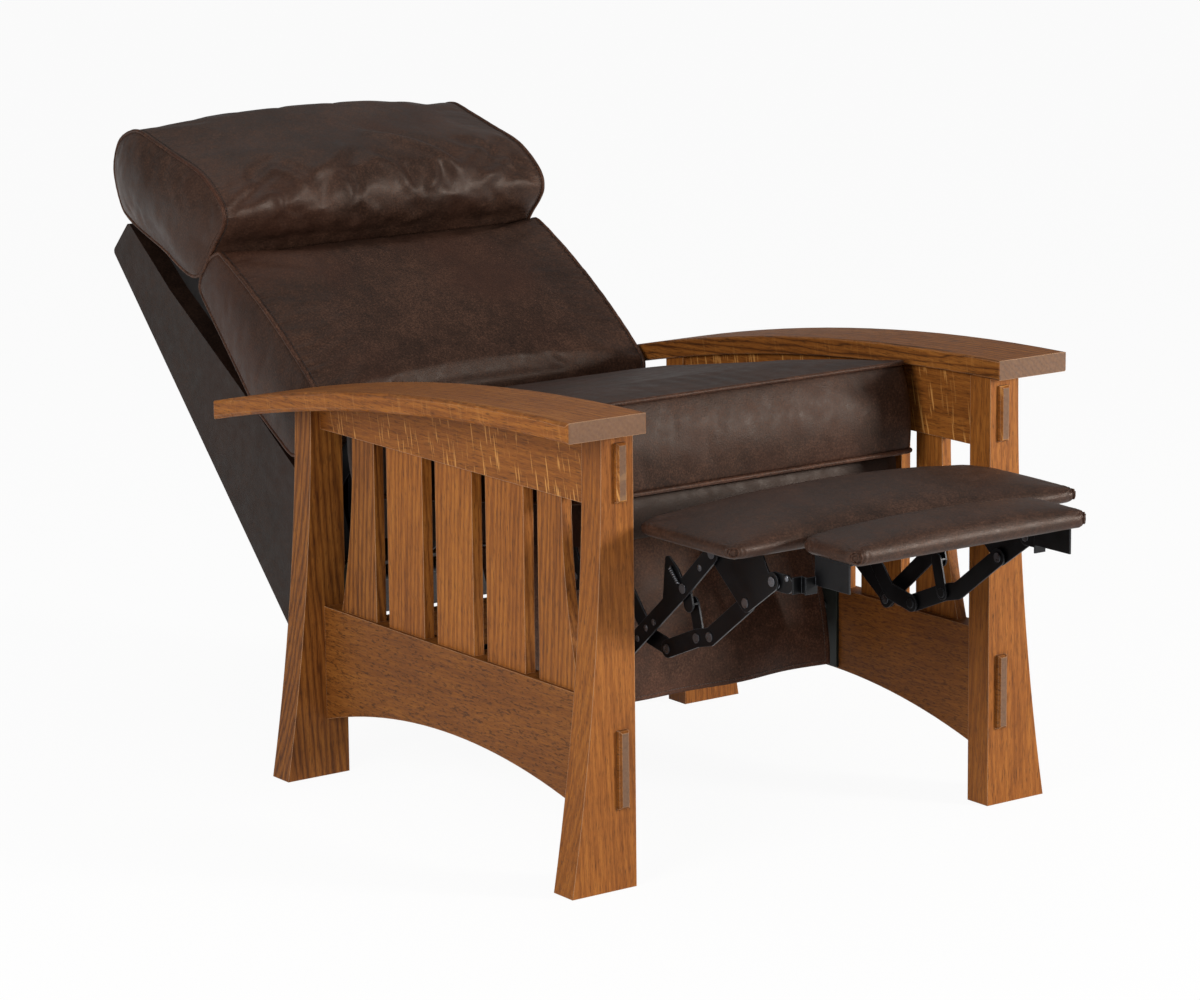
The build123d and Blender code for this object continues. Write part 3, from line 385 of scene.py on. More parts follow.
def makeBareSteel(name, tone):
    w = Look(name)
    cloud = w.cloud((120, 120, 120), detail=4)
    rounded, edge = w.softEdge(0.0006)
    return w.finish(w.blendTone(cloud, linear(tone, 0.72), linear(tone)), w.span(cloud, 0.3, 0.7, 0.22, 0.42),
                    w.raised(cloud, 0.1, 0.0003, rounded), Metallic=0.95)


def makeBoard(name):
    w = Look(name)
    streaks = w.cloud((4, 90, 90), detail=3)
    flakes = w.cloud((55, 55, 55), detail=4)
    tone = w.weigh((streaks, 0.5), (flakes, 0.5))
    colour = w.blendTone(w.span(tone, 0.35, 0.65), linear((150, 118, 80)), linear((196, 164, 120)))
    return w.finish(colour, w.span(flakes, 0.3, 0.7, 0.65, 0.85), w.raised(streaks, 0.3, 0.0006))


def makeDarkCloth(name):
    w = Look(name)
    warp = w.cloud((900, 60, 900), detail=1)
    weft = w.cloud((60, 900, 60), detail=1)
    both = w.times(warp, weft)
    colour = w.blendTone(w.span(both, 0.15, 0.4), linear((17, 15, 15)), linear((33, 30, 29)))
    return w.finish(colour, w.span(both, 0.1, 0.4, 0.8, 0.95), w.raised(both, 0.4, 0.0005))


def makeThread(name, tone):
    w = Look(name)
    twist = w.cloud((1400, 1400, 1400), detail=2)
    return w.finish(w.blendTone(twist, linear(tone, 0.7), linear(tone)), w.span(twist, 0.3, 0.7, 0.6, 0.8))


leather = makeLeather("espressoLeather", creases=0.12)
leatherSoft = makeLeather("espressoLeatherSoft", creases=0.25, shift=2.0, shine=0.3)
# a paler copy of the leather for the piping and corner spirals: a painted highlight along the welts
leatherBandPaintedHighlight = makeLeather("espressoLeatherBand", creases=0.2, shift=5.0, lift=1.25)
# a paler copy of the leather for the apron: painted light that lifts it out of the shade behind the linkage
leatherApronPaintedLight = makeLeather("espressoLeatherApron", creases=0.3, shift=8.0, lift=1.35)
# a darker copy of the leather for the shell's side panel and the deck front: painted shade
leatherShellPaintedShade = makeLeather("espressoLeatherShell", creases=0.2, shift=11.0, lift=0.66)
blackSteel = makeBlackSteel("blackSteel", (8, 8, 10))
greenSteel = makeBlackSteel("greenBlackSteel", (20, 25, 22), (66, 78, 70))
zinc = makeBareSteel("brightZinc", (190, 192, 196))
rivetSteel = makeBareSteel("darkRivetSteel", (128, 130, 136))
board = makeBoard("frameBoard")
darkCloth = makeDarkCloth("dustCloth")
thread = makeThread("darkThread", (24, 17, 15))
paleThread = makeThread("apronThread", (84, 70, 62))

# toneAndPaintedLight darkens or lightens a piece's oak: partly the wood's own tone, partly painted light and
# shade
oaks = {
    "left_arm": dict(grain="Y", shift=1.3, flecks=0.12, rings=0.7, lines=0.7, toneAndPaintedLight=0.93),
    "right_arm": dict(grain="Y", shift=4.1, flecks=0.15),
    "left_front_leg": dict(grain="Z", shift=2.2, rings=0.4),
    "right_front_leg": dict(grain="Z", shift=6.7, rings=0.45),
    "left_rear_leg": dict(grain="Z", shift=3.9, rings=0.4),
    "right_rear_leg": dict(grain="Z", shift=8.3, rings=0.9, lines=0.4, toneAndPaintedLight=0.9),
    "left_top_rail": dict(grain="Y", shift=5.4, flecks=0.75, rings=0.3, toneAndPaintedLight=0.97),
    "right_top_rail": dict(grain="Y", shift=9.9, flecks=0.85, rings=0.3, toneAndPaintedLight=0.97),
    "left_bottom_rail": dict(grain="Y", shift=7.2, ticks=0.6, rings=0.2, toneAndPaintedLight=0.9),
    "right_bottom_rail": dict(grain="Y", shift=11.5, ticks=0.65, rings=0.2, toneAndPaintedLight=0.88),
    "left_middle_slats": dict(grain="Z", shift=12.1, rings=0.7),
    "right_middle_slats": dict(grain="Z", shift=13.8, rings=0.7, toneAndPaintedLight=1.04),
    "left_front_slat": dict(grain="Z", shift=14.6, rings=0.6),
    "right_front_slat": dict(grain="Z", shift=15.2, rings=0.7, lines=0.25),
    "left_rear_slat": dict(grain="Z", shift=16.9, rings=0.6),
    "right_rear_slat": dict(grain="Z", shift=17.3, rings=1.0, lines=0.3, toneAndPaintedLight=0.92),
    "rear_stretcher": dict(grain="X", shift=18.8, rings=0.4),
    "cross_rail": dict(grain="X", shift=19.4, rings=0.4),
}

finishes = {
    blackSteel: ["left_seat_side_plate", "right_seat_side_plate", "seat_tube", "tilt_tube", "base_tube",
                 "back_brackets", "drive_links", "lift_arms", "cross_links", "lower_links", "rear_links",
                 "footrest_brackets", "flip_brackets"],
    greenSteel: ["left_base_plate", "right_base_plate"],
    zinc: ["base_screws", "spring_clips", "seat_springs"],
    rivetSteel: ["back_springs", "pivot_pins", "back_pins", "drive_rivets", "arm_rivets", "lower_rivets",
                 "bracket_rivets"],
    board: ["seat_rear_rail", "apron_batten", "footrest_board", "flip_board"],
    darkCloth: ["back_boards", "back_rails"],
    leather: ["seat_front_rail", "left_seat_side_rail", "right_seat_side_rail"],
    leatherShellPaintedShade: ["back_shell"],
}


for node, look in oaks.items():
    finishes[makeOak("oak_" + node, **look)] = [node]
for material, group in finishes.items():
    for node in group:
        nodes[node].data.materials.clear()
        nodes[node].data.materials.append(material)
print("finishes on", sum(len(group) for group in finishes.values()), "frame pieces")


# Places in the tilted seat and the leaning back, as in the frame

seatFrame = {"front": -0.393, "height": 0.484, "tilt": math.radians(8.5)}
backFrame = {"footY": 0.351, "footZ": 0.173, "lean": math.radians(44.7)}


def onSeat(x, along, up):
    c, s = math.cos(seatFrame["tilt"]), math.sin(seatFrame["tilt"])
    return Vector((x, seatFrame["front"] + along * c + up * s, seatFrame["height"] - along * s + up * c))


def onBack(x, along, depth):
    c, s = math.cos(backFrame["lean"]), math.sin(backFrame["lean"])
    return Vector((x, backFrame["footY"] + along * s - depth * c, backFrame["footZ"] + along * c + depth * s))


def shadeSmooth(mesh):
    mesh.polygons.foreach_set("use_smooth", [True] * len(mesh.polygons))


def addPiece(name, mesh, material):
    mesh.name = name
    mesh.materials.clear()
    mesh.materials.append(material)
    return newObject(name, mesh)


def meshPiece(name, points, faces, material):
    mesh = bpy.data.meshes.new(name)
    mesh.from_pydata([tuple(p) for p in points], [], faces)
    mesh.validate()
    shadeSmooth(mesh)
    return addPiece(name, mesh, material)


def tidyNormals(piece):
    b = bmesh.new()
    b.from_mesh(piece.data)
    bmesh.ops.remove_doubles(b, verts=b.verts, dist=0.00002)
    bmesh.ops.recalc_face_normals(b, faces=b.faces)
    b.to_mesh(piece.data)
    b.free()


def shownMesh(thing):
    # what a thing's modifiers make of it
    return bpy.data.meshes.new_from_object(thing.evaluated_get(bpy.context.evaluated_depsgraph_get()))


def bakeModifiers(piece):
    mesh = shownMesh(piece)
    mesh.name = piece.name
    piece.modifiers.clear()
    old = piece.data
    piece.data = mesh
    bpy.data.meshes.remove(old)


# Node trees that turn lines or points into piping, stitches or bolt heads

class Sprout(Weave):
    # a Geometry Nodes tree whose pieces have one finish
    def __init__(self, name, **sizes):
        super().__init__(bpy.data.node_groups.new(name, "GeometryNodeTree"))
        self.socket("Source", "INPUT", "Geometry")
        for key, value in sizes.items():
            self.socket(key, "INPUT", "Float").default_value = value
        self.socket("Finish", "INPUT", "Material")
        self.socket("Result", "OUTPUT", "Geometry")
        self.take = self.node("NodeGroupInput").outputs

    def socket(self, name, way, kind):
        return self.tree.interface.new_socket(name=name, in_out=way, socket_type="NodeSocket" + kind)

    def give(self, made, smooth=True):
        if smooth:
            made = self.node("GeometryNodeSetShadeSmooth", Geometry=made).outputs["Geometry"]
        real = self.node("GeometryNodeRealizeInstances", Geometry=made)
        paint = self.node("GeometryNodeSetMaterial", Geometry=real.outputs["Geometry"],
                          Material=self.take["Finish"])
        self.node("NodeGroupOutput", Result=paint.outputs["Geometry"])
        return self.tree


def pipingTree():
    w = Sprout("piping", Radius=0.003)
    ring = w.node("GeometryNodeCurvePrimitiveCircle", Resolution=10, Radius=w.take["Radius"])
    sweep = w.node("GeometryNodeCurveToMesh", Curve=w.take["Source"], Profile_Curve=ring.outputs["Curve"],
                   Fill_Caps=True)
    return w.give(sweep.outputs["Mesh"])


def stitchTree():
    w = Sprout("stitches", Spacing=0.005, Length=0.0036, Radius=0.0005)
    dots = w.node("GeometryNodeCurveToPoints", {"mode": "LENGTH"}, Curve=w.take["Source"],
                  Length=w.take["Spacing"])
    one = w.node("GeometryNodeMeshUVSphere", Segments=6, Rings=5, Radius=1)
    size = w.node("CombineXYZ", X=w.take["Radius"], Y=w.take["Radius"], Z=w.times(w.take["Length"], 0.5))
    copy = w.node("GeometryNodeInstanceOnPoints", Points=dots.outputs["Points"], Instance=one.outputs["Mesh"],
                  Rotation=dots.outputs["Rotation"], Scale=size.outputs[0])
    return w.give(copy.outputs["Instances"], smooth=False)


def domeTree():
    w = Sprout("domedHeads", Radius=0.005, Height=0.002)
    one = w.node("GeometryNodeMeshUVSphere", Segments=20, Rings=10, Radius=1)
    size = w.node("CombineXYZ", X=w.take["Height"], Y=w.take["Radius"], Z=w.take["Radius"])
    copy = w.node("GeometryNodeInstanceOnPoints", Points=w.take["Source"], Instance=one.outputs["Mesh"],
                  Scale=size.outputs[0])
    return w.give(copy.outputs["Instances"])


pipingNodes = pipingTree()
stitchNodes = stitchTree()
domeNodes = domeTree()


def growFrom(name, source, tree, material, sizes):
    # runs a tree over lines or points and keeps the result as a plain mesh piece
    grow = source.modifiers.new("grow", "NODES")
    grow.node_group = tree
    values = {"Finish": material, **sizes}
    for item in tree.interface.items_tree:
        if item.in_out == "INPUT" and item.name in values:
            grow[item.identifier] = values[item.name]
    piece = addPiece(name, shownMesh(source), material)
    bpy.data.objects.remove(source)
    return piece


def growAlong(name, lines, closed, tree, material, **sizes):
    curve = bpy.data.curves.new(name + "Line", "CURVE")
    curve.dimensions = "3D"
    for points in lines:
        spline = curve.splines.new("POLY")
        spline.points.add(len(points) - 1)
        for knot, p in zip(spline.points, points):
            knot.co = (*p, 1)
        spline.use_cyclic_u = closed
    return growFrom(name, newObject(name + "Line", curve), tree, material, sizes)


def growAt(name, places, tree, material, **sizes):
    mesh = bpy.data.meshes.new(name + "Places")
    mesh.from_pydata([tuple(p) for p in places], [], [])
    return growFrom(name, newObject(name + "Places", mesh), tree, material, sizes)


def settle(lines, piece, lift):
    # lays lines onto a finished piece, lift above its surface
    skin = BVHTree.FromObject(piece, bpy.context.evaluated_depsgraph_get())
    laid = []
    for line in lines:
        spots = []
        for p in line:
            spot, normal, face, far = skin.find_nearest(Vector(p))
            spots.append(spot + normal * lift)
        laid.append(spots)
    return laid


def rideAs(piece, body):
    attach(piece, body)
    return piece


def piping(name, lines, closed, radius, material, body):
    piece = growAlong(name, lines, closed, pipingNodes, material, Radius=radius)
    return rideAs(piece, body)


stitchSize = {"Spacing": 0.0042, "Length": 0.0034, "Radius": 0.0006}


def seamStitches(name, lines, body, finish):
    return rideAs(growAlong(name, lines, False, stitchNodes, finish, **stitchSize), body)


# Padded forms: a closed mesh is made in its place, then blown up as cloth between its seams

def arc(start, through, end, count):
    # points on the round line from start through a middle point to end, without the end
    (ax, ay), (bx, by), (cx, cy) = start, through, end
    d = 2 * (ax * (by - cy) + bx * (cy - ay) + cx * (ay - by))
    ux = ((ax**2 + ay**2) * (by - cy) + (bx**2 + by**2) * (cy - ay) + (cx**2 + cy**2) * (ay - by)) / d
    uy = ((ax**2 + ay**2) * (cx - bx) + (bx**2 + by**2) * (ax - cx) + (cx**2 + cy**2) * (bx - ax)) / d
    r = math.hypot(ax - ux, ay - uy)
    a0, a1, a2 = (math.atan2(y - uy, x - ux) for x, y in ((ax, ay), (bx, by), (cx, cy)))
    turn = (a2 - a0) % (2 * math.pi)
    if (a1 - a0) % (2 * math.pi) > turn:
        turn -= 2 * math.pi
    return [(ux + r * math.cos(a0 + turn * i / count), uy + r * math.sin(a0 + turn * i / count))
            for i in range(count)]


def straight(start, end, count):
    return [(start[0] + (end[0] - start[0]) * i / count, start[1] + (end[1] - start[1]) * i / count)
            for i in range(count)]


def smoothLoop(points, per):
    # a closed line that flows through the points
    made = []
    n = len(points)
    for i in range(n):
        p0, p1, p2, p3 = (np.array(points[(i + k) % n]) for k in (-1, 0, 1, 2))
        for j in range(per):
            t = j / per
            made.append(tuple(0.5 * (2 * p1 + (p2 - p0) * t + (2 * p0 - 5 * p1 + 4 * p2 - p3) * t * t
                                     + (3 * p1 - p0 - 3 * p2 + p3) * t ** 3)))
    return made


def rolledForm(name, profile, halfWidth, endDome, material, across=48):
    # the same outline at many places across, with a domed end panel of shrinking loops on each side
    shares = [math.sin(math.pi / 2 * (-1 + 2 * i / across)) for i in range(across + 1)]
    rings = (0.93, 0.8, 0.62, 0.42, 0.2)

    def loopAt(share, shrink):
        points = profile(share)
        cu = sum(p[0] for p in points) / len(points)
        cn = sum(p[1] for p in points) / len(points)
        lift = endDome * (1 - shrink ** 3)
        x = share * halfWidth + math.copysign(lift, share) if share else 0
        return [onBack(x, cu + (u - cu) * shrink, cn + (n - cn) * shrink) for u, n in points]

    loops = [loopAt(-1, shrink) for shrink in reversed(rings)]
    loops += [loopAt(share, 1.0) for share in shares]
    loops += [loopAt(1, shrink) for shrink in rings]
    count = len(loops[0])
    points = [p for loop in loops for p in loop]
    faces = []
    for i in range(len(loops) - 1):
        for j in range(count):
            k = (j + 1) % count
            faces.append((i * count + j, i * count + k, (i + 1) * count + k, (i + 1) * count + j))
    for first, flip in ((0, False), ((len(loops) - 1) * count, True)):
        middle = len(points)
        ring = [points[first + j] for j in range(count)]
        points.append(sum(ring, Vector()) / count)
        for j in range(count):
            k = (j + 1) % count
            faces.append((middle, first + j, first + k) if flip else (middle, first + k, first + j))
    piece = meshPiece(name, points, faces, material)
    tidyNormals(piece)
    return piece


# a cube's side starts where its coordinate is beyond this
onFace = 0.999


def boxedForm(name, shape, material, cuts=44):
    # a cube's surface drawn to shape(a, b, c), each from -1 to 1
    b = bmesh.new()
    bmesh.ops.create_cube(b, size=2)
    bmesh.ops.subdivide_edges(b, edges=b.edges, cuts=cuts, use_grid_fill=True)
    for v in b.verts:
        v.co = shape(*v.co)
    mesh = bpy.data.meshes.new(name)
    b.to_mesh(mesh)
    b.free()
    shadeSmooth(mesh)
    piece = addPiece(name, mesh, material)
    tidyNormals(piece)
    return piece


def farFromLines(points, lines, reach):
    # each point's distance to the nearest seam, up to reach
    near = np.full(len(points), reach)
    for line in lines:
        for start, end in zip(line[:-1], line[1:]):
            a, b = np.array(start), np.array(end)
            run = b - a
            t = np.clip(((points - a) @ run) / max(run @ run, 1e-12), 0, 1)
            near = np.minimum(near, np.linalg.norm(points - a - t[:, None] * run, axis=1))
    return near


def coordinates(mesh):
    flat = np.empty(len(mesh.vertices) * 3)
    mesh.vertices.foreach_get("co", flat)
    return flat.reshape(-1, 3)


clothSettings = {
    "quality": 5, "mass": 0.35, "tension_stiffness": 18, "compression_stiffness": 18, "shear_stiffness": 8,
    "bending_stiffness": 1.2, "use_pressure": True,
}


def blowUp(piece, seams, pressure, cap, slack=0.0, voxel=0.0055, pinReach=0.006, steps=20):
    # the sewn lines hold still and the leather swells between them
    remesh = piece.modifiers.new("even", "REMESH")
    remesh.mode = "VOXEL"
    remesh.voxel_size = voxel
    bakeModifiers(piece)
    rest = coordinates(piece.data)
    shadeSmooth(piece.data)
    held = piece.vertex_groups.new(name="held")
    near = farFromLines(rest, seams, 0.05)
    for i in np.nonzero(near < pinReach)[0]:
        held.add([int(i)], 1.0, "REPLACE")
    cloth = piece.modifiers.new("cloth", "CLOTH")
    for key, value in clothSettings.items():
        setattr(cloth.settings, key, value)
    cloth.settings.uniform_pressure_force = pressure
    cloth.settings.shrink_min = -slack
    cloth.settings.vertex_group_mass = "held"
    cloth.settings.effector_weights.gravity = 0
    cloth.point_cache.frame_start = 1
    cloth.point_cache.frame_end = steps
    for step in range(1, steps + 1):
        scene.frame_set(step)
    bakeModifiers(piece)
    scene.frame_set(1)
    change = coordinates(piece.data) - rest
    length = np.linalg.norm(change, axis=1)
    limit = np.where(length > cap, cap / np.maximum(length, 1e-9), 1.0)
    piece.data.vertices.foreach_set("co", (rest + change * limit[:, None]).ravel())
    shadeSmooth(piece.data)
    print(piece.name, "swelled", round(float(length.mean()) * 1000, 1), "mm on average,", len(rest), "points")


def wrinkle(piece, height):
    # moves each point along its normal by height(point, normal)
    mesh = piece.data
    for v, n in zip(mesh.vertices, [v.normal.copy() for v in mesh.vertices]):
        v.co = v.co + n * height(v.co, n)
    mesh.update()


def finer(piece):
    smooth = piece.modifiers.new("finer", "SUBSURF")
    smooth.levels = smooth.render_levels = 1
    bakeModifiers(piece)
    shadeSmooth(piece.data)


def markSeams(piece, seams, reach=0.013):
    # 1 on a seam and fading beside it, for the leather's small wrinkles
    mesh = piece.data
    near = farFromLines(coordinates(mesh), seams, reach * 4)
    share = np.exp(-near / reach) - math.exp(-4)
    mark = mesh.attributes.new("nearSeam", "FLOAT", "POINT")
    mark.data.foreach_set("value", np.clip(share, 0, 1).astype(np.float32))


def calm(piece, times):
    # smooths the small creases that the swelling leaves
    soft = piece.modifiers.new("calm", "SMOOTH")
    soft.factor = 0.5
    soft.iterations = times
    bakeModifiers(piece)


def handOver(piece, body, node):
    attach(piece, body)
    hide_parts(node)


# Seat cushion: boxed, piped round its top and bottom edges

seatCushion = {
    "halfWidth": 0.287, "length": 0.581, "thick": 0.122, "rearThick": 0.116, "crown": 0.011, "corner": 0.030,
    "bulge": 0.009, "pipingRadius": 0.0034, "fill": 0.8,
}


def seatTop(b):
    # the cushion is a little thinner at its rear
    s = seatCushion
    return s["thick"] + (s["rearThick"] - s["thick"]) * ((b + 1) / 2) ** 2


def roundedPlan(a, b, halfWidth, length, corner):
    # a square's point drawn onto a plan with round corners, measured from the front edge
    x = a * halfWidth
    y = b * length / 2
    dx = abs(x) - (halfWidth - corner)
    dy = abs(y) - (length / 2 - corner)
    if dx > 0 and dy > 0:
        pull = max(dx, dy) / math.hypot(dx, dy)
        x = math.copysign(halfWidth - corner + dx * pull, x)
        y = math.copysign(length / 2 - corner + dy * pull, y)
    return x, y + length / 2


def seatShape(a, b, c):
    s = seatCushion
    x, along = roundedPlan(a, b, s["halfWidth"], s["length"], s["corner"])
    up = (c + 1) / 2 * seatTop(b)
    if c > onFace:
        up += s["crown"] * (1 - a ** 8) ** 0.7 * (1 - b ** 6) ** 0.8 * (1 - 0.35 * (b + 1) / 2)
    rim = max(abs(a), abs(b))
    if rim > onFace and abs(c) < onFace:
        out = s["bulge"] * (1 - c * c)
        way = Vector((x, along - s["length"] / 2)).normalized()
        x += way.x * out * (0.25 if abs(a) > onFace else 1)
        along += way.y * out
    return onSeat(x, along, up)


def seatSeam(c, count=60):
    s = seatCushion
    line = []
    corners = [(-1, -1), (1, -1), (1, 1), (-1, 1), (-1, -1)]
    for (a0, b0), (a1, b1) in zip(corners[:-1], corners[1:]):
        for i in range(count):
            t = i / count
            a, b = a0 + (a1 - a0) * t, b0 + (b1 - b0) * t
            x, along = roundedPlan(a, b, s["halfWidth"], s["length"], s["corner"])
            line.append(onSeat(x, along, (c + 1) / 2 * seatTop(b)))
    return line


def buildSeatCushion():
    cushion = boxedForm("seatCushion", seatShape, leather)
    top, bottom = seatSeam(1), seatSeam(-1)
    closedSeams = [top + top[:1], bottom + bottom[:1]]
    blowUp(cushion, closedSeams, pressure=2.6, cap=0.006, slack=0.002)
    calm(cushion, 4)
    finer(cushion)
    handOver(cushion, "seat", "seat_cushion")
    piping("seatPiping", [top, bottom], True, seatCushion["pipingRadius"], leatherBandPaintedHighlight, "seat")


buildSeatCushion()


# Back cushion: a front panel rolled over its top and foot, piped to its side panels

backCushion = {
    "halfWidth": 0.285, "foot": (0.172, 0.322), "footRoll": (0.148, 0.257), "heel": (0.172, 0.192),
    "rearLow": (0.280, 0.162), "rearTop": (0.505, 0.162), "topRoll": (0.5165, 0.218), "top": (0.505, 0.251),
    "arch": 0.012, "crown": 0.011, "upperFull": 0.006, "endDome": 0.006, "cap": 0.008, "slack": 0.004,
    "fill": 0.75, "pipingRadius": 0.0030, "stitchIn": 0.0065, "frontFrom": 0.245, "shortName": "back",
}


def backProfile(share):
    s = backCushion
    middle = ((s["top"][0] + s["foot"][0]) / 2,
              (s["top"][1] + s["foot"][1]) / 2 + s["arch"] + s["crown"] * (1 - share ** 2))
    front = arc(s["top"], middle, s["foot"], 40)
    run = s["top"][0] - s["foot"][0]
    # fuller just below the headrest
    rise = s["upperFull"] * (1 - share ** 4)
    front = [(u, n + rise * math.exp(-(((u - s["foot"][0]) / run - 0.86) / 0.13) ** 2)) for u, n in front]
    return (front + arc(s["foot"], s["footRoll"], s["heel"], 18)
            + straight(s["heel"], s["rearLow"], 10) + straight(s["rearLow"], s["rearTop"], 22)
            + arc(s["rearTop"], s["topRoll"], s["top"], 10))


def backPuckers(point, normal):
    # short wrinkles that run in from the side seams
    edge = backCushion["halfWidth"] - abs(point.x)
    if edge > 0.075 or abs(normal.x) > 0.6:
        return 0
    run = math.exp(-edge / 0.022) * min(edge / 0.006, 1)
    wave = noise.noise(Vector((point.x * 8, point.y * 115, point.z * 115)))
    return run * wave * 0.0022


def buildRoll(name, node, s, profile, material, wrinkles, held=()):
    # a rolled cushion on the back, piped round its side panels and stitched beside the piping
    cushion = rolledForm(name, profile, s["halfWidth"], s["endDome"], material)
    seams = [[onBack(side * s["halfWidth"], u, n) for u, n in profile(side)] for side in (-1, 1)]
    closedSeams = [line + line[:1] for line in seams]
    blowUp(cushion, closedSeams + list(held), pressure=3.0, cap=s["cap"], slack=s["slack"])
    calm(cushion, 3)
    finer(cushion)
    for height in wrinkles:
        wrinkle(cushion, height)
    markSeams(cushion, closedSeams)
    handOver(cushion, "back", node)
    short = s["shortName"]
    piping(short + "Piping", settle(seams, cushion, 0.0008), True, s["pipingRadius"], leatherBandPaintedHighlight, "back")
    lines = [[onBack(side * (s["halfWidth"] - s["stitchIn"]), u, n) for u, n in profile(side * 0.97)
              if n > s["frontFrom"]] for side in (-1, 1)]
    seamStitches(short + "Stitches", settle(lines, cushion, 0.0002), "back", thread)


buildRoll("backCushion", "back_cushion", backCushion, backProfile, leather, [backPuckers])


# Headrest pillow: a fat roll over the top of the back

headrest = {
    "halfWidth": 0.285, "puff": 0.016, "crest": 0.007, "endDome": 0.022, "cap": 0.009, "slack": 0.008,
    "fill": 0.85, "pipingRadius": 0.0030, "stitchIn": 0.0065, "frontFrom": 0.19, "shortName": "headrest",
    "foot": 0.522, "tuck": (0.5185, 0.246),
    "outline": [(0.518, 0.170), (0.610, 0.124), (0.704, 0.078), (0.742, 0.077), (0.785, 0.098),
                (0.803, 0.135), (0.798, 0.166), (0.777, 0.199), (0.735, 0.226), (0.675, 0.262),
                (0.617, 0.296), (0.565, 0.309), (0.535, 0.307), (0.521, 0.290), (0.518, 0.246)],
    # each fold: across and up at its upper end, then at its lower end, its half width and its height
    "folds": [(0.045, 0.120, 0.128, 0.036, 0.013, 0.0075), (0.215, 0.098, 0.140, 0.040, 0.013, 0.0050),
              (-0.045, 0.100, -0.118, 0.055, 0.012, 0.0050), (-0.010, 0.070, 0.036, 0.018, 0.011, 0.0055),
              (-0.180, 0.074, -0.142, 0.030, 0.011, 0.0042), (-0.222, 0.080, -0.262, 0.036, 0.011, 0.0040),
              (0.238, 0.060, 0.178, 0.022, 0.011, 0.0042), (0.092, 0.052, 0.070, 0.012, 0.009, 0.0040),
              (-0.085, 0.044, -0.066, 0.010, 0.009, 0.0035), (0.255, 0.110, 0.268, 0.050, 0.012, 0.0032),
              (-0.205, 0.030, -0.190, 0.006, 0.008, 0.0028), (0.015, 0.140, 0.050, 0.110, 0.014, 0.0028)],
}


def headProfile(share):
    s = headrest
    middle = 1 - share ** 2
    points = []
    for u, n in s["outline"]:
        front = max(0.0, min(1.0, (n - 0.15) / 0.1))
        top = max(0.0, min(1.0, (u - 0.66) / 0.1))
        crest = s["crest"] * middle * top
        points.append((u + crest, n + s["puff"] * middle * front + crest))
    return smoothLoop(points, 7)


def headFolds(point, normal):
    # soft uneven ridges over the lower front, with a hollow on one flank
    dy, dz = point.y - backFrame["footY"], point.z - backFrame["footZ"]
    c, s = math.cos(backFrame["lean"]), math.sin(backFrame["lean"])
    depth = -dy * c + dz * s
    inboard = headrest["halfWidth"] - abs(point.x)
    if depth < headrest["frontFrom"] or abs(point.x) > headrest["halfWidth"] - 0.002:
        return 0
    rise = dy * s + dz * c - headrest["foot"]
    fade = min(1.0, max(0.0, (rise + 0.004) / 0.02)) * min(1.0, inboard / 0.02)
    total = 0.0
    for x1, r1, x0, r0, width, high in headrest["folds"]:
        run = Vector((x1 - x0, r1 - r0))
        off = Vector((point.x - x0, rise - r0))
        t = off.dot(run) / run.length_squared
        bend = 0.006 * math.sin(math.pi * min(1.0, max(0.0, t)))
        across = (off.x * run.y - off.y * run.x) / run.length - bend
        taper = math.exp(-(max(0.0, abs(t - 0.5) - 0.32) / 0.28) ** 2)
        total += high * taper * (math.exp(-(across / width) ** 2)
                                 - 0.62 * math.exp(-((across - 1.7 * width) / (1.1 * width)) ** 2))
    low = math.exp(-max(rise, 0) / 0.03)
    puckers = noise.noise(Vector((point.x * 42 + 5, rise * 14, 2.3))) * 0.0034 * low
    soft = noise.noise(Vector((point.x * 15, rise * 13, 7.1))) * 0.0028 * math.exp(-max(rise, 0) / 0.09)
    return fade * (total + puckers + soft)


def endPuckers(point, normal):
    # faint creases across the end panels
    if abs(normal.x) < 0.7:
        return 0
    return noise.noise(Vector((1.5, point.y * 55 + point.z * 30, point.z * 20))) * 0.0007


tuck = [onBack(i / 20 * headrest["halfWidth"], *headrest["tuck"]) for i in range(-20, 21)]
buildRoll("headrestPillow", "headrest_pillow", headrest, headProfile, leatherSoft, [headFolds, endPuckers],
          held=[tuck])


# Footrest pads: leather drawn over a board, with gathered corners

pads = {
    "footrestPad": {"front": -0.724, "depth": 0.206, "halfWidth": 0.292, "under": 0.464, "thick": 0.020,
                    "crown": 0.024, "corner": 0.020, "spiral": 0.010, "body": "footrest",
                    "node": "footrest_pad"},
    "flipPad": {"front": -0.848, "depth": 0.112, "halfWidth": 0.195, "under": 0.464, "thick": 0.024,
                "crown": 0.012, "corner": 0.014, "spiral": 0.012, "body": "flip_pad", "node": "flip_pad"},
}


def padShape(s):
    def shape(a, b, c):
        x, along = roundedPlan(a, b, s["halfWidth"], s["depth"], s["corner"])
        # round the rim: the side walls are half circles
        tall = s["thick"]
        rim = max(abs(a), abs(b))
        edge = max(0.0, (rim - 0.9) / 0.1)
        lift = (c + 1) / 2 * tall
        if c > onFace:
            lift += s["crown"] * (1 - abs(a) ** 2.2) ** 0.85 * (1 - abs((b - 0.12) / 1.12) ** 2.6) ** 0.8
            lift -= tall * 0.10 * edge ** 3
        inset = 0.0
        if abs(c) > onFace:
            inset = tall * 0.5 * edge ** 2
        elif rim > onFace:
            inset = tall * 0.5 * (1 - math.sqrt(max(0.0, 1 - c * c)))
        if abs(a) >= abs(b):
            x -= math.copysign(inset, x)
        if abs(b) >= abs(a):
            along -= math.copysign(inset, along - s["depth"] / 2)
        return Vector((x, s["front"] + along, s["under"] + lift))
    return shape


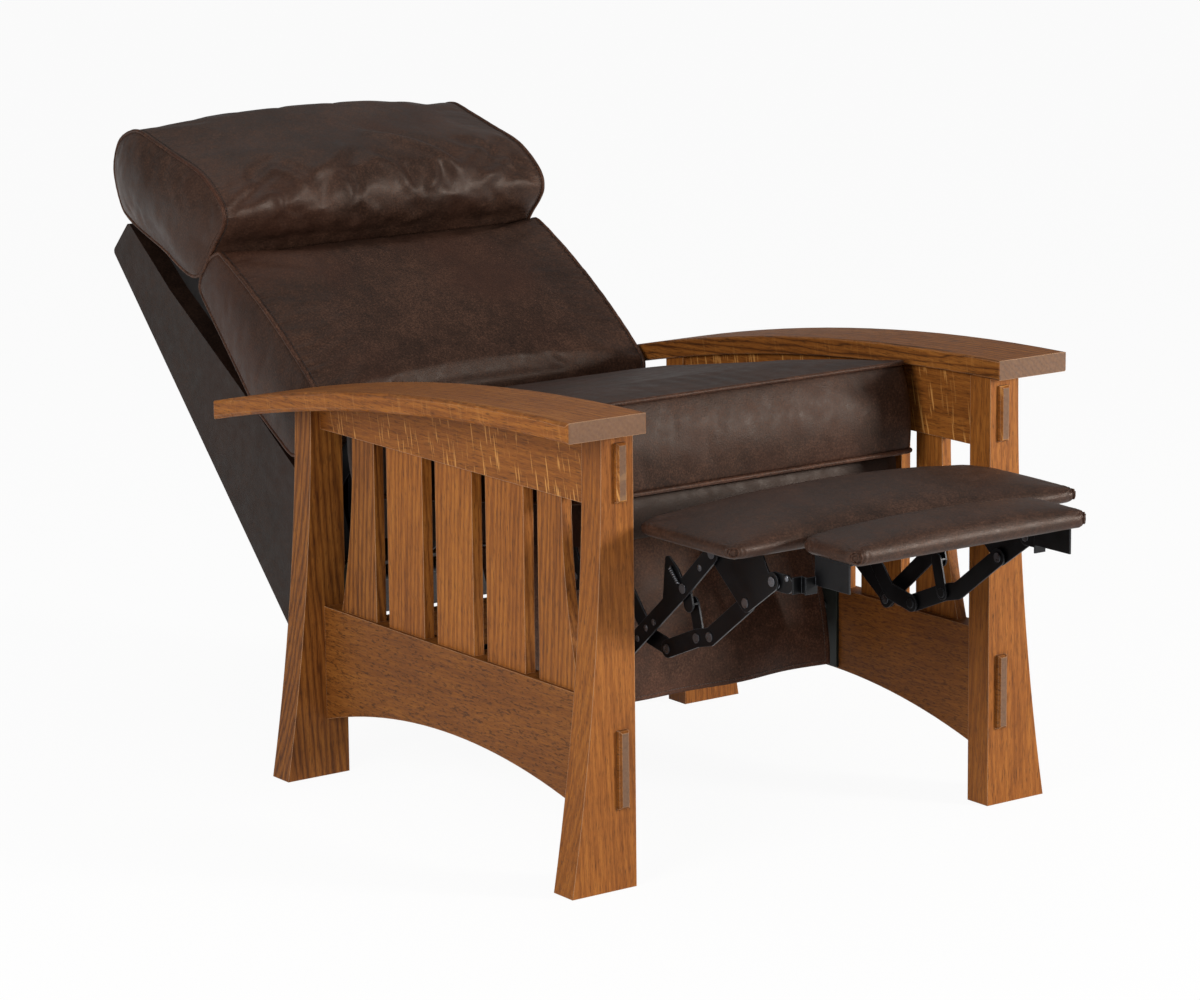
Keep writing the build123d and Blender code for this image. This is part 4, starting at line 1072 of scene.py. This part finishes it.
def cornerGathers(s):
    # the leather is pleated round each front corner, like a small wound roll
    inset = s["corner"] * 0.55
    corners = [(side * (s["halfWidth"] - inset), y) for side in (-1, 1)
               for y in (s["front"] + inset, s["front"] + s["depth"] - inset)]

    def height(point, normal):
        if normal.z < -0.6:
            return 0
        best = 0.0
        for cx, cy in corners:
            dx, dy = point.x - cx, point.y - cy
            r = math.sqrt(dx * dx + dy * dy + (point.z - s["under"] - s["thick"] * 0.5) ** 2)
            if r < 0.04:
                swing = math.atan2(dy, dx)
                fade = math.exp(-(r / 0.018) ** 2)
                best += fade * math.sin(swing * 15 + r * 260) * 0.0010
        return best
    return height


def cornerSpirals(s, pad):
    # the leather is wound into each front corner: a raised line that turns inwards
    lines = []
    for side in (-1, 1):
        inset = s["corner"] * 0.32
        middle = Vector((side * (s["halfWidth"] - inset), s["front"] + inset, s["under"] + s["thick"] * 0.5))
        sideways = Vector((side, 1, 0)).normalized()
        line = []
        for i in range(45):
            turn = i / 44 * 3.1 * math.pi
            far = s["spiral"] * (1 - 0.72 * i / 44)
            line.append(middle + sideways * far * math.cos(turn) + Vector((0, 0, far * math.sin(turn))))
        lines.append(line)
    return settle(lines, pad, 0.0002)


def buildPads():
    for name, s in pads.items():
        pad = boxedForm(name, padShape(s), leatherSoft, cuts=56)
        under = s["under"] + 0.002
        inner = 0.006
        near, far = s["front"] + inner, s["front"] + s["depth"] - inner
        ring = [Vector((x * (s["halfWidth"] - inner), y, under))
                for x, y in ((-1, near), (1, near), (1, far), (-1, far), (-1, near))]
        blowUp(pad, [ring], pressure=0.9, cap=0.003, voxel=0.004, pinReach=0.012)
        calm(pad, 12)
        finer(pad)
        wrinkle(pad, cornerGathers(s))
        handOver(pad, s["body"], s["node"])
        piping(name + "Spirals", cornerSpirals(s, pad), False, 0.0009, leatherBandPaintedHighlight, s["body"])


buildPads()


# Apron: a hemmed leather sheet that hangs behind the linkage

apron = {
    "halfWidth": 0.279, "top": (-0.140, 0.3795), "waist": (-0.189, 0.243), "hem": (-0.203, 0.143),
    "fold": 0.004, "folds": 3, "thick": 0.0022, "hemHeight": 0.009, "edgeIn": 0.008,
    "across": 150, "down": 80,
    # each dent: across, height, its half width and half height, its depth
    "dents": [(0.12, 0.285, 0.060, 0.050, 0.010), (-0.10, 0.270, 0.050, 0.060, 0.008),
              (0.02, 0.215, 0.075, 0.040, -0.007), (0.19, 0.220, 0.045, 0.050, -0.006),
              (-0.20, 0.220, 0.050, 0.050, 0.006), (-0.03, 0.330, 0.060, 0.030, -0.004)],
}


def apronPoint(a, t):
    # a runs from -1 to 1 across, t from 0 at the top to 1 at the hem
    s = apron
    top, waist, hem = (np.array(p) for p in (s["top"], s["waist"], s["hem"]))
    middle = 2 * waist - 0.5 * (top + hem)
    y, z = (1 - t) ** 2 * top + 2 * t * (1 - t) * middle + t * t * hem
    x = a * s["halfWidth"]
    wave = math.sin(math.pi * a * s["folds"] + 0.6) * s["fold"] * (0.1 + 0.9 * t)
    slant = noise.noise(Vector((x * 6, z * 7, 1.7))) * 0.010 * t
    droop = noise.noise(Vector((x * 5 + 9, 0.4, 0))) * 0.004 * t
    for dx, dz, wide, tall, deep in s["dents"]:
        wave += 0.7 * deep * math.exp(-((x - dx) / wide) ** 2 - ((z - dz) / tall) ** 2) * min(1, 4 * t)
    return Vector((x, y + 0.0015 + wave + slant * 0.7, z + droop))


def buildApron():
    s = apron
    points = [apronPoint(-1 + 2 * i / s["across"], j / s["down"])
              for j in range(s["down"] + 1) for i in range(s["across"] + 1)]
    width = s["across"] + 1
    faces = [(j * width + i, j * width + i + 1, (j + 1) * width + i + 1, (j + 1) * width + i)
             for j in range(s["down"]) for i in range(s["across"])]
    sheet = meshPiece("frontApron", points, faces, leatherApronPaintedLight)
    drop = sum((apronPoint(0, (j + 1) / 40) - apronPoint(0, j / 40)).length for j in range(40))
    wall = sheet.modifiers.new("wall", "SOLIDIFY")
    wall.thickness = s["thick"]
    wall.offset = 0
    bakeModifiers(sheet)
    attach(sheet, "apron")
    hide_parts("front_apron")

    hemT = 1 - s["hemHeight"] / drop
    edgeA = 1 - s["edgeIn"] / s["halfWidth"]
    hem = [apronPoint(-edgeA + 2 * edgeA * i / 160, hemT) for i in range(161)]
    edges = [[apronPoint(side * edgeA, 0.06 + (hemT - 0.06) * j / 80) for j in range(81)] for side in (-1, 1)]
    face = Vector((0, -s["thick"] / 2 - 0.0002, 0))
    hemStitches = seamStitches("apronStitches", [[p + face for p in line] for line in [hem] + edges],
                               "apron", paleThread)


buildApron()


# Deck front: leather over the front rail, under the cushion

deck = {"halfWidth": 0.266, "front": 0.030, "drop": 0.0058, "depth": 0.056, "proud": 0.0022}


def buildDeckFront():
    s = deck

    def shape(a, b, c):
        x = a * s["halfWidth"]
        along = s["front"] - s["proud"] * (1 - b) / 2 - 0.0003
        up = -s["drop"] - (1 - c) / 2 * s["depth"]
        along -= 0.0025 * (1 - a ** 8) * (1 - c ** 4) * (1 - b) / 2
        return onSeat(x, along, up)

    # the deck front takes the darker shell copy: painted shade under the cushion
    rideAs(boxedForm("deckFront", shape, leatherShellPaintedShade, cuts=24), "seat")


buildDeckFront()


# Bolt heads on the linkage and the two return coils

boltRadius = 0.0045

boltHeads = {
    "flip_brackets": {"body": "flip_pad", "height": 0.0022,
                      "places": [(-0.698, 0.415), (-0.712, 0.422), (-0.730, 0.434)]},
    # flush heads: the drive links pass over them as the footrest folds
    "lift_arms": {"body": "lift_arms", "height": 0.0004,
                  "places": [(-0.423, 0.298), (-0.442, 0.316), (-0.459, 0.327), (-0.560, 0.418)]},
}

returnCoils = {"wire": 0.0013, "pitch": 0.0032, "perTurn": 16}


def faceAt(node, y, z, side):
    # the outermost point of a node's flat side, or None beside it
    mesh = nodes[node].data
    skin = BVHTree.FromPolygons([v.co for v in mesh.vertices], [tuple(f.vertices) for f in mesh.polygons])
    spot, normal, face, far = skin.ray_cast(Vector((side * 0.6, y, z)), Vector((-side, 0, 0)), 0.6)
    return spot


def buildBolts():
    for node, s in boltHeads.items():
        spots = [faceAt(node, y, z, side) for y, z in s["places"] for side in (-1, 1)]
        spots = [spot for spot in spots if spot is not None]
        heads = growAt(node.replace("_", "") + "Bolts", spots, domeNodes, rivetSteel,
                       Radius=boltRadius, Height=s["height"])
        rideAs(heads, s["body"])
        print(node, "gets", len(spots), "bolt heads")


def buildCoils():
    s = returnCoils
    everyPoint = coordinates(nodes["return_springs"].data)
    turnsOfWire = []
    for side in (-1, 1):
        cloud = everyPoint[everyPoint[:, 0] * side > 0]
        centre = (cloud.min(axis=0) + cloud.max(axis=0)) / 2
        way = np.linalg.svd(cloud - cloud.mean(axis=0), full_matrices=False)[2][0]
        reach = (cloud - centre) @ way
        start, end = reach.min(), reach.max()
        across = np.array([1.0, 0.0, 0.0])
        other = np.cross(way, across)
        rim = float(np.abs((cloud - centre) @ across).max()) - s["wire"]
        turns = (end - start - 2 * s["wire"]) / s["pitch"]
        count = int(turns * s["perTurn"])
        line = []
        for i in range(count + 1):
            angle = 2 * math.pi * i / s["perTurn"] * side
            step = start + s["wire"] + (end - start - 2 * s["wire"]) * i / count
            out = across * math.cos(angle) + other * math.sin(angle)
            line.append(Vector(centre + way * step + rim * out))
        turnsOfWire.append(line)
    coils = growAlong("returnCoils", turnsOfWire, False, pipingNodes, rivetSteel, Radius=s["wire"])
    rideAs(coils, "lift_arms")
    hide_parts("return_springs")


buildBolts()
buildCoils()
